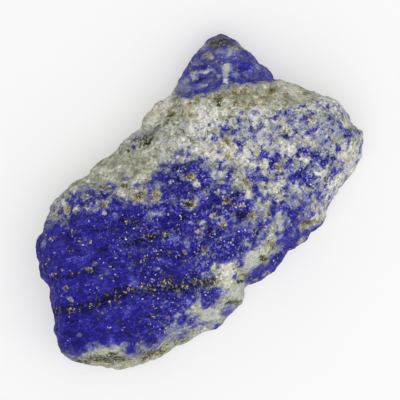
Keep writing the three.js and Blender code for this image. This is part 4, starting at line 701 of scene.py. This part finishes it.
def sow(name, model, often, sizes, sunk, seed):
    """Copies of a crystal at random points of the stone, each turned its own way, as one mesh.

    often is the chance at each point, sizes are in millimetres, and sunk is the part that is in the rock.
    """
    chance = random.Random(seed)
    points, faces = model
    all_points, all_faces = [], []
    for place, normal, share in zip(places, normals, often):
        if chance.random() > share or place[2] < LOWEST_CRYSTAL:
            continue
        size = chance.uniform(*sizes) * MM
        turn = Euler([chance.uniform(0, FULL_TURN) for _ in range(3)]).to_matrix()
        stretch = Matrix.Diagonal([size * chance.uniform(0.5, 1.4) for _ in range(3)])
        first = len(all_points) * len(points)
        all_points.append(points @ np.array(turn @ stretch).T + place - normal * size * sunk)
        all_faces += [tuple(i + first for i in face) for face in faces]
    mesh = bpy.data.meshes.new(name)
    mesh.from_pydata(np.concatenate(all_points).tolist(), [], all_faces)
    piece = bpy.data.objects.new(name, mesh)
    bpy.context.scene.collection.objects.link(piece)
    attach(piece, "root")
    return piece


pyrite = sow(
    "pyrite_grains", crystal("pyrite", shape=(1, 1, 1), bevel=0.12),
    often=0.00003 + 0.0016 * shares["pyrite"] ** 1.5 + 0.0014 * shares["olive"],
    sizes=(0.12, 0.3), sunk=0.2, seed=7,
)
calcite = sow(
    "calcite_grains", crystal("calcite", shape=(1, 0.8, 0.5), bevel=0.1),
    often=0.0006 * shares["sprinkled"] + 0.006 * shares["chalk_and_lit_edges"],
    sizes=(0.14, 0.36), sunk=0.34, seed=11,
)


# Materials

def add(tree, kind, inputs=None, **settings):
    """Adds a node, with its settings, and its inputs as values or as other nodes' outputs."""
    node = tree.nodes.new("ShaderNode" + kind)
    for name, value in settings.items():
        setattr(node, name, value)
    for name, value in (inputs or {}).items():
        if isinstance(value, bpy.types.NodeSocket):
            tree.links.new(value, node.inputs[name])
        else:
            node.inputs[name].default_value = value
    return node


def calc(tree, operation, *values):
    return add(tree, "Math", dict(enumerate(values)), operation=operation).outputs[0]


def plus(tree, value, share, rest):
    """A share of one value, added to the rest."""
    return calc(tree, "MULTIPLY_ADD", value, share, rest)


def seen(*colour):
    """A colour as it looks on a screen, from 0 to 255, as the light it gives."""
    return tuple(c / 255 / 12.92 if c < 11 else ((c / 255 + 0.055) / 1.055) ** 2.4 for c in colour)


def remap(tree, value, low, high, to_low=0.0, to_high=1.0):
    inputs = {"Value": value, "From Min": low, "From Max": high, "To Min": to_low, "To Max": to_high}
    return add(tree, "MapRange", inputs, interpolation_type="SMOOTHSTEP").outputs[0]


def blend(tree, factor, first, second):
    node = add(tree, "Mix", {0: factor, 6: first, 7: second}, data_type="RGBA")
    return node.outputs[2]


def ramp(tree, value, stops):
    node = add(tree, "ValToRGB", {0: value})
    elements = node.color_ramp.elements
    while len(elements) < len(stops):
        elements.new(0.5)
    for element, (position, colour) in zip(elements, stops):
        element.position = position
        element.color = (*colour, 1)
    return node.outputs[0]


def new_group(name, inputs, outputs):
    """A shader node group with the given sockets, and its input and output nodes."""
    tree = bpy.data.node_groups.new(name, "ShaderNodeTree")
    for label, kind, default in inputs:
        socket = tree.interface.new_socket(label, in_out="INPUT", socket_type=kind)
        if default is not None:
            socket.default_value = default
    for label, kind in outputs:
        tree.interface.new_socket(label, in_out="OUTPUT", socket_type=kind)
    return tree, tree.nodes.new("NodeGroupInput").outputs, tree.nodes.new("NodeGroupOutput").inputs


def use(tree, group, **inputs):
    node = tree.nodes.new("ShaderNodeGroup")
    node.node_tree = group
    for name, value in inputs.items():
        socket = node.inputs[name.replace("_", " ").capitalize()]
        if isinstance(value, bpy.types.NodeSocket):
            tree.links.new(value, socket)
        else:
            socket.default_value = value
    return node.outputs


def bent(tree, given, frequency):
    """The place, shifted by a noise so that the grains get ragged edges."""
    inputs = {"Vector": given["Place"], "Scale": frequency, "Detail": 3.0, "Roughness": 0.6}
    bend = add(tree, "TexNoise", inputs)
    shift = add(tree, "VectorMath", {0: bend.outputs["Color"], 1: (0.5, 0.5, 0.5)}, operation="SUBTRACT")
    amount = calc(tree, "MULTIPLY", given["Size"], 1.5)
    shift = add(tree, "VectorMath", {0: shift.outputs[0], "Scale": amount}, operation="SCALE")
    return add(tree, "VectorMath", {0: given["Place"], 1: shift.outputs[0]}, operation="ADD").outputs[0]


def grain_group():
    """Grains that fill the rock: two random values for each, how near its middle is, and a tilted facet."""
    tree, given, result = new_group(
        "crystal grain",
        [("Place", "NodeSocketVector", None), ("Size", "NodeSocketFloat", 0.4),
         ("Tilt", "NodeSocketFloat", 0.3)],
        [("Random", "NodeSocketFloat"), ("Second", "NodeSocketFloat"), ("Distance", "NodeSocketFloat"),
         ("Facet", "NodeSocketVector")],
    )
    frequency = calc(tree, "DIVIDE", 1.0, given["Size"])
    place = bent(tree, given, frequency)
    cells = add(tree, "TexVoronoi", {"Vector": place, "Scale": frequency})
    parts = add(tree, "SeparateColor", {0: cells.outputs["Color"]})
    tree.links.new(parts.outputs[0], result["Random"])
    tree.links.new(parts.outputs[1], result["Second"])
    tree.links.new(cells.outputs["Distance"], result["Distance"])
    lean = add(tree, "VectorMath", {0: cells.outputs["Color"], 1: (0.5, 0.5, 0.5)}, operation="SUBTRACT")
    lean = add(tree, "VectorMath", {0: lean.outputs[0], "Scale": given["Tilt"]}, operation="SCALE")
    tree.links.new(lean.outputs[0], result["Facet"])
    return tree


def fleck_group():
    """Scattered flecks: which grains are flecks, and a random value for each."""
    tree, given, result = new_group(
        "scattered flecks",
        [("Place", "NodeSocketVector", None), ("Size", "NodeSocketFloat", 0.3),
         ("Share", "NodeSocketFloat", 0.1)],
        [("Mask", "NodeSocketFloat"), ("Random", "NodeSocketFloat")],
    )
    frequency = calc(tree, "DIVIDE", 1.0, given["Size"])
    place = bent(tree, given, frequency)
    cells = add(tree, "TexVoronoi", {"Vector": place, "Scale": frequency})
    parts = add(tree, "SeparateColor", {0: cells.outputs["Color"]})
    chosen = calc(tree, "LESS_THAN", parts.outputs[0], given["Share"])
    near = remap(tree, cells.outputs["Distance"], 0.5, 0.36)
    tree.links.new(calc(tree, "MULTIPLY", chosen, near), result["Mask"])
    tree.links.new(parts.outputs[1], result["Random"])
    return tree


GRAIN = grain_group()
FLECKS = fleck_group()


def millimetres(tree):
    """The surface's place in millimetres, and the same with X along the layers and shortened."""
    coordinates = add(tree, "TexCoord")
    place = add(tree, "VectorMath", {0: coordinates.outputs["Object"], "Scale": 1 / MM}, operation="SCALE")
    turned = add(tree, "Mapping", {0: place.outputs[0], "Rotation": (LAYER_LEAN, 0, -LAYER_ANGLE)})
    layers = add(tree, "Mapping", {0: turned.outputs[0], "Scale": (0.3, 1, 0.7)})
    return place.outputs[0], layers.outputs[0]


def new_material(name):
    material = bpy.data.materials.new(name)
    material.use_nodes = True
    return material, material.node_tree, material.node_tree.nodes["Principled BSDF"].inputs


def rock_material():
    material, tree, shader = new_material("lapis_rock")
    place, layers = millimetres(tree)
    amount = {name: add(tree, "Attribute", attribute_name=name).outputs["Fac"] for name in shares}
    large = use(tree, GRAIN, place=place, size=1.15, tilt=0.25)
    coarse = use(tree, GRAIN, place=place, size=0.66, tilt=0.3)
    middle = use(tree, GRAIN, place=place, size=0.38, tilt=0.35)
    fine = use(tree, GRAIN, place=place, size=0.21, tilt=0.4)

    def noise_value(vector, scale, detail, roughness, shift=(0, 0, 0)):
        moved = add(tree, "Mapping", {0: vector, "Location": shift}).outputs[0]
        inputs = {"Vector": moved, "Scale": scale, "Detail": detail, "Roughness": roughness}
        return add(tree, "TexNoise", inputs).outputs["Fac"]

    sources = {
        "large": large["Random"], "wide": large["Second"],
        "coarse": coarse["Random"], "plain": coarse["Second"],
        "middle": middle["Random"], "other": middle["Second"],
        "fine": fine["Random"], "dots": fine["Second"],
        "clouds": noise_value(place, 0.75, 4.0, 0.65), "haze": noise_value(place, 0.5, 3.0, 0.5, (9, 4, 2)),
        "blobs": noise_value(place, 0.75, 3.0, 0.5, (4, 1, 6)),
        "streaks": noise_value(layers, 1.0, 5.0, 0.7),
        "lines": noise_value(layers, 2.6, 4.0, 0.65, (5, 8, 3)),
    }

    def vary(value, **weights):
        """A value made uneven by the grains, the clouds and the streaks."""
        for name, weight in weights.items():
            centred = calc(tree, "SUBTRACT", sources[name], 0.5)
            value = plus(tree, centred, weight, value)
        return value

    def times(*values):
        result = values[0]
        for value in values[1:]:
            result = calc(tree, "MULTIPLY", result, value)
        return result

    sprinkled = amount["sprinkled"]
    calm = plus(tree, amount["smooth"], -0.75, 1.0)
    gritty = times(plus(tree, sprinkled, 0.55, 0.45), calm)
    dark = plus(tree, amount["pyrite"], 0.35, amount["dark"])
    dark = remap(tree, vary(dark, other=0.6, middle=0.4, streaks=0.7, clouds=1.0), 0.3, 0.95)
    folds = noise_value(layers, 0.6, 4.0, 0.55, (13, 7, 5))
    creases = remap(tree, calc(tree, "ABSOLUTE", calc(tree, "SUBTRACT", folds, 0.5)), 0.03, 0.0)
    creases = times(creases, remap(tree, sources["streaks"], 0.42, 0.6))

    # Blue lazurite, from nearly black to bright, with streaks along the layers and painted shade in the
    # creases
    depth = vary(0.45, clouds=1.0, blobs=0.55, haze=0.4, streaks=1.0, lines=0.95)
    depth = plus(tree, vary(0.0, fine=0.34, middle=0.4, coarse=0.28, large=0.16), gritty, depth)
    depth = plus(tree, dark, -0.5, depth)
    depth = plus(tree, amount["bright"], 0.38, depth)
    # Painted shade: the lazurite is darker along the creases
    depth = plus(tree, creases, -0.3, depth)
    lazurite = ramp(tree, depth, [
        (0.0, seen(9, 7, 40)), (0.14, seen(19, 13, 82)), (0.3, seen(29, 22, 116)), (0.46, seen(38, 31, 144)),
        (0.62, seen(50, 43, 164)), (0.76, seen(70, 66, 178)), (0.89, seen(98, 99, 190)),
        (1.0, seen(144, 148, 214)),
    ])

    # Pale calcite, from grey-green to white
    bright = vary(0.55, clouds=0.75, lines=0.45, blobs=0.5)
    bright = plus(tree, vary(0.0, dots=0.26, other=0.34, plain=0.28, wide=0.2), gritty, bright)
    bright = plus(tree, amount["chalk_and_lit_edges"], 0.32, bright)
    bright = plus(tree, sprinkled, 0.15, bright)
    bright = plus(tree, dark, -0.55, bright)
    calcite = ramp(tree, bright, [
        (0.0, seen(38, 38, 30)), (0.2, seen(104, 105, 88)), (0.46, seen(164, 166, 143)),
        (0.66, seen(202, 204, 185)), (0.82, seen(238, 238, 226)), (1.0, seen(252, 252, 250)),
    ])
    warm = remap(tree, vary(amount["chalk_and_lit_edges"], haze=1.6), 0.3, 1.0)
    calcite = blend(tree, times(warm, 0.5), calcite, (*seen(218, 208, 184), 1))

    # Blue haze in the calcite beside the blue rock
    haze = remap(tree, vary(amount["blue"], haze=0.9, blobs=0.8, plain=0.25, other=0.3, dots=0.2), 0.12, 0.56)
    haze = times(haze, remap(tree, amount["blue"], 0.0, 0.12))
    haze_colour = ramp(tree, vary(0.52, clouds=0.4, other=0.5, dots=0.5, streaks=0.3), [
        (0.0, seen(56, 55, 156)), (0.4, seen(104, 110, 180)), (0.75, seen(158, 166, 202)),
        (1.0, seen(224, 228, 238)),
    ])
    calcite = blend(tree, times(haze, 0.82), calcite, haze_colour)

    # Cloudy calcite veins
    milk_colour = ramp(tree, vary(sources["clouds"], fine=0.1), [
        (0.3, seen(150, 157, 150)), (0.7, seen(206, 208, 198)),
    ])
    milk = remap(tree, vary(amount["milk"], coarse=0.12, clouds=0.9), 0.35, 0.7)
    calcite = blend(tree, milk, calcite, milk_colour)

    # Olive-brown rock
    olive = ramp(tree, vary(bright, blobs=0.9, other=0.4, coarse=0.3), [
        (0.0, seen(34, 28, 14)), (0.3, seen(98, 84, 44)), (0.6, seen(154, 141, 98)),
        (0.95, seen(226, 217, 190)),
    ])
    is_olive = remap(tree, vary(amount["olive"], plain=0.5, other=0.5, clouds=0.5), 0.25, 0.7)
    is_olive = times(is_olive, remap(tree, amount["olive"], 0.0, 0.15))

    # Where the rock is blue: with ragged grains in the mottled rock, and with streaks elsewhere
    grains = times(plus(tree, sprinkled, 0.65, 0.35), calm)
    grains = times(grains, remap(tree, amount["blue"], 0.0, 0.22))
    uneven = vary(0.03, blobs=3.0, large=0.42, coarse=0.34, middle=0.24, fine=0.14)
    is_blue = vary(amount["blue"], clouds=0.55, streaks=0.5, lines=0.35)
    is_blue = plus(tree, uneven, grains, is_blue)
    crisp = calc(tree, "MULTIPLY", sprinkled, 0.06)
    low, high = calc(tree, "ADD", 0.14, crisp), calc(tree, "SUBTRACT", 0.86, crisp)
    is_blue = remap(tree, is_blue, low, high)
    is_blue = times(is_blue, calc(tree, "SUBTRACT", 1.0, milk))
    colour = blend(tree, is_blue, calcite, lazurite)
    colour = blend(tree, times(is_olive, 0.85), colour, olive)

    # Painted shade in the pits between the grains: the colour is darker there
    pit_shade = times(remap(tree, coarse["Distance"], 0.42, 0.72), remap(tree, sources["clouds"], 0.4, 0.56))
    pit_shade = calc(tree, "MAXIMUM", pit_shade, times(remap(tree, middle["Distance"], 0.46, 0.7), 0.7))
    pit_shade = times(pit_shade, plus(tree, milk, -0.9, 1.0), calm)
    shade = blend(tree, is_blue, (*seen(40, 39, 30), 1), (*seen(18, 16, 60), 1))
    colour = blend(tree, times(pit_shade, 0.42), colour, shade)

    # Frosty specks in the blue rock
    frost = noise_value(place, 2.6, 3.0, 0.6, (2, 6, 8))
    frost = remap(tree, plus(tree, sources["haze"], 0.5, frost), 0.82, 0.92)
    frost = times(frost, sprinkled, 0.8, is_blue)
    colour = blend(tree, frost, colour, (*seen(160, 168, 214), 1))

    # White flecks, partly pale grains and partly painted glints, and near-black flecks, more of them in the
    # mottled rock
    share = times(plus(tree, sprinkled, 0.05, 0.004), calm)
    white_grain_and_glint = use(tree, FLECKS, place=place, size=0.3, share=share)
    white_grain_and_glint_colour = blend(tree, white_grain_and_glint["Random"], (*seen(120, 128, 200), 1), (*seen(250, 250, 250), 1))
    colour = blend(tree, times(white_grain_and_glint["Mask"], 0.85), colour, white_grain_and_glint_colour)
    share = times(plus(tree, sprinkled, 0.06, 0.05), calm)
    shifted = add(tree, "Mapping", {0: place, "Location": (3.3, 7.7, 1.9)}).outputs[0]
    black = use(tree, FLECKS, place=shifted, size=0.34, share=share)
    colour = blend(tree, times(black["Mask"], 0.7), colour, shade)

    # Rusty brown flecks in the mottled rock
    share = times(plus(tree, sprinkled, 0.085, 0.01), calm)
    shifted = add(tree, "Mapping", {0: place, "Location": (8.1, 2.4, 5.2)}).outputs[0]
    brown = use(tree, FLECKS, place=shifted, size=0.62, share=share)
    brown_colour = blend(tree, brown["Random"], (*seen(70, 62, 40), 1), (*seen(150, 132, 84), 1))
    is_brown = times(brown["Mask"], 0.75, remap(tree, sources["dots"], 0.2, 0.5))
    colour = blend(tree, is_brown, colour, brown_colour)

    # Pyrite: dark rock with brown and brassy grains in it
    pyrite_colour = ramp(tree, vary(0.45, other=0.8, fine=0.5, plain=0.25), [
        (0.1, seen(10, 9, 30)), (0.5, seen(25, 23, 40)), (0.68, seen(64, 60, 46)), (0.82, seen(108, 102, 66)),
        (0.94, seen(154, 142, 86)), (1.0, seen(210, 198, 142)),
    ])
    is_pyrite = remap(tree, vary(amount["pyrite"], coarse=0.5, plain=0.4, other=0.6, fine=0.4), 0.56, 0.76)
    colour = blend(tree, times(is_pyrite, 0.95), colour, pyrite_colour)
    tree.links.new(colour, shader["Base Color"])

    metal = times(is_pyrite, remap(tree, fine["Random"], 0.7, 0.9, 0.0, 0.3))
    tree.links.new(metal, shader["Metallic"])
    rough = remap(tree, fine["Second"], 0.0, 1.0, 0.36, 0.85)
    rough = plus(tree, metal, -0.25, rough)
    tree.links.new(rough, shader["Roughness"])
    shader["Specular IOR Level"].default_value = 0.14

    # Each grain is a little facet of its own, and cloudy calcite is smooth
    facets = add(tree, "VectorMath", {0: coarse["Facet"], 1: fine["Facet"]}, operation="ADD").outputs[0]
    keep = times(plus(tree, sprinkled, 0.6, 0.55), plus(tree, milk, -0.8, 1.0), calm)
    facets = add(tree, "VectorMath", {0: facets, "Scale": keep}, operation="SCALE").outputs[0]
    normal = add(tree, "NewGeometry").outputs["Normal"]
    tilted = add(tree, "VectorMath", {0: normal, 1: facets}, operation="ADD").outputs[0]
    tilted = add(tree, "VectorMath", {0: tilted}, operation="NORMALIZE").outputs[0]
    height = plus(tree, fine["Distance"], -0.35, calc(tree, "MULTIPLY", coarse["Distance"], -0.5))
    height = plus(tree, sources["streaks"], 1.4, height)
    height = plus(tree, sources["lines"], 1.0, height)
    height = plus(tree, creases, -0.5, height)
    bump = add(tree, "Bump", {"Height": height, "Normal": tilted, "Strength": 0.8, "Distance": 0.26 * MM})
    tree.links.new(bump.outputs[0], shader["Normal"])
    return material


def grain_material(name, stops, metallic, roughness):
    """Small crystals: each part of the surface takes a colour of the ramp."""
    material, tree, shader = new_material(name)
    place, _ = millimetres(tree)
    cells = use(tree, GRAIN, place=place, size=0.35, tilt=0.4)
    cloud = add(tree, "TexNoise", {"Vector": place, "Scale": 5.0, "Detail": 3.0}).outputs["Fac"]
    value = plus(tree, calc(tree, "SUBTRACT", cloud, 0.5), 0.5, cells["Random"])
    tree.links.new(ramp(tree, value, stops), shader["Base Color"])
    tree.links.new(remap(tree, cloud, 0.3, 0.7, roughness[0], roughness[1]), shader["Roughness"])
    shader["Metallic"].default_value = metallic
    bump = add(tree, "Bump", {"Height": cloud, "Strength": 0.4, "Distance": 0.05 * MM})
    tree.links.new(bump.outputs[0], shader["Normal"])
    return material


def table_material():
    """A matt grey that glows a little, as a light table does, so that the shadow stays soft."""
    material, tree, shader = new_material("pale_table")
    place, _ = millimetres(tree)
    cloud = add(tree, "TexNoise", {"Vector": place, "Scale": 0.02, "Detail": 2.0}).outputs["Fac"]
    grey = ramp(tree, cloud, [(0.3, (0.495, 0.495, 0.495)), (0.7, (0.5, 0.5, 0.5))])
    tree.links.new(grey, shader["Base Color"])
    shader["Roughness"].default_value = 0.9
    shader["Specular IOR Level"].default_value = 0.0
    shader["Emission Color"].default_value = (1, 1, 1, 1)
    shader["Emission Strength"].default_value = 0.41
    return material


def finish_with(piece, material):
    """Gives a piece one material in place of any that it had."""
    piece.data.materials.clear()
    piece.data.materials.append(material)


finish_with(stone, rock_material())
finish_with(pyrite, grain_material("pyrite", [
    (0.0, seen(34, 31, 20)), (0.35, seen(86, 79, 44)), (0.7, seen(138, 127, 70)), (1.0, seen(208, 196, 124)),
], 0.4, (0.3, 0.55)))
finish_with(calcite, grain_material("calcite", [
    (0.0, seen(150, 152, 150)), (0.5, seen(205, 206, 202)), (1.0, seen(246, 246, 246)),
], 0.0, (0.3, 0.6)))


# The table and the light

TABLE_SIZE = 3
TABLE_GAP = 0.00003  # under the stone, so that the two don't share a plane
SOFT_LIGHT = 0.61


bpy.ops.object.select_all(action="DESELECT")
bpy.ops.mesh.primitive_plane_add(size=TABLE_SIZE, location=(0, 0, -TABLE_GAP))
table = bpy.context.object
table.name = "table"
finish_with(table, table_material())


def add_light(name, direction, distance, size, power):
    """A round lamp that faces the stone from a direction."""
    place = Vector(direction).normalized() * distance
    bpy.ops.object.light_add(type="AREA", location=place, rotation=place.to_track_quat("Z", "Y").to_euler())
    lamp = bpy.context.object
    lamp.name = name
    lamp.data.shape = "DISK"
    lamp.data.size = size
    lamp.data.energy = power


add_light("window", direction=(-0.13, -0.42, 0.898), distance=1.3, size=2.1, power=15)
world = bpy.data.worlds.new("studio")
bpy.context.scene.world = world
world.use_nodes = True
world.node_tree.nodes["Background"].inputs["Color"].default_value = (1, 1, 1, 1)
world.node_tree.nodes["Background"].inputs["Strength"].default_value = SOFT_LIGHT
bpy.context.scene.view_settings.view_transform = "Standard"
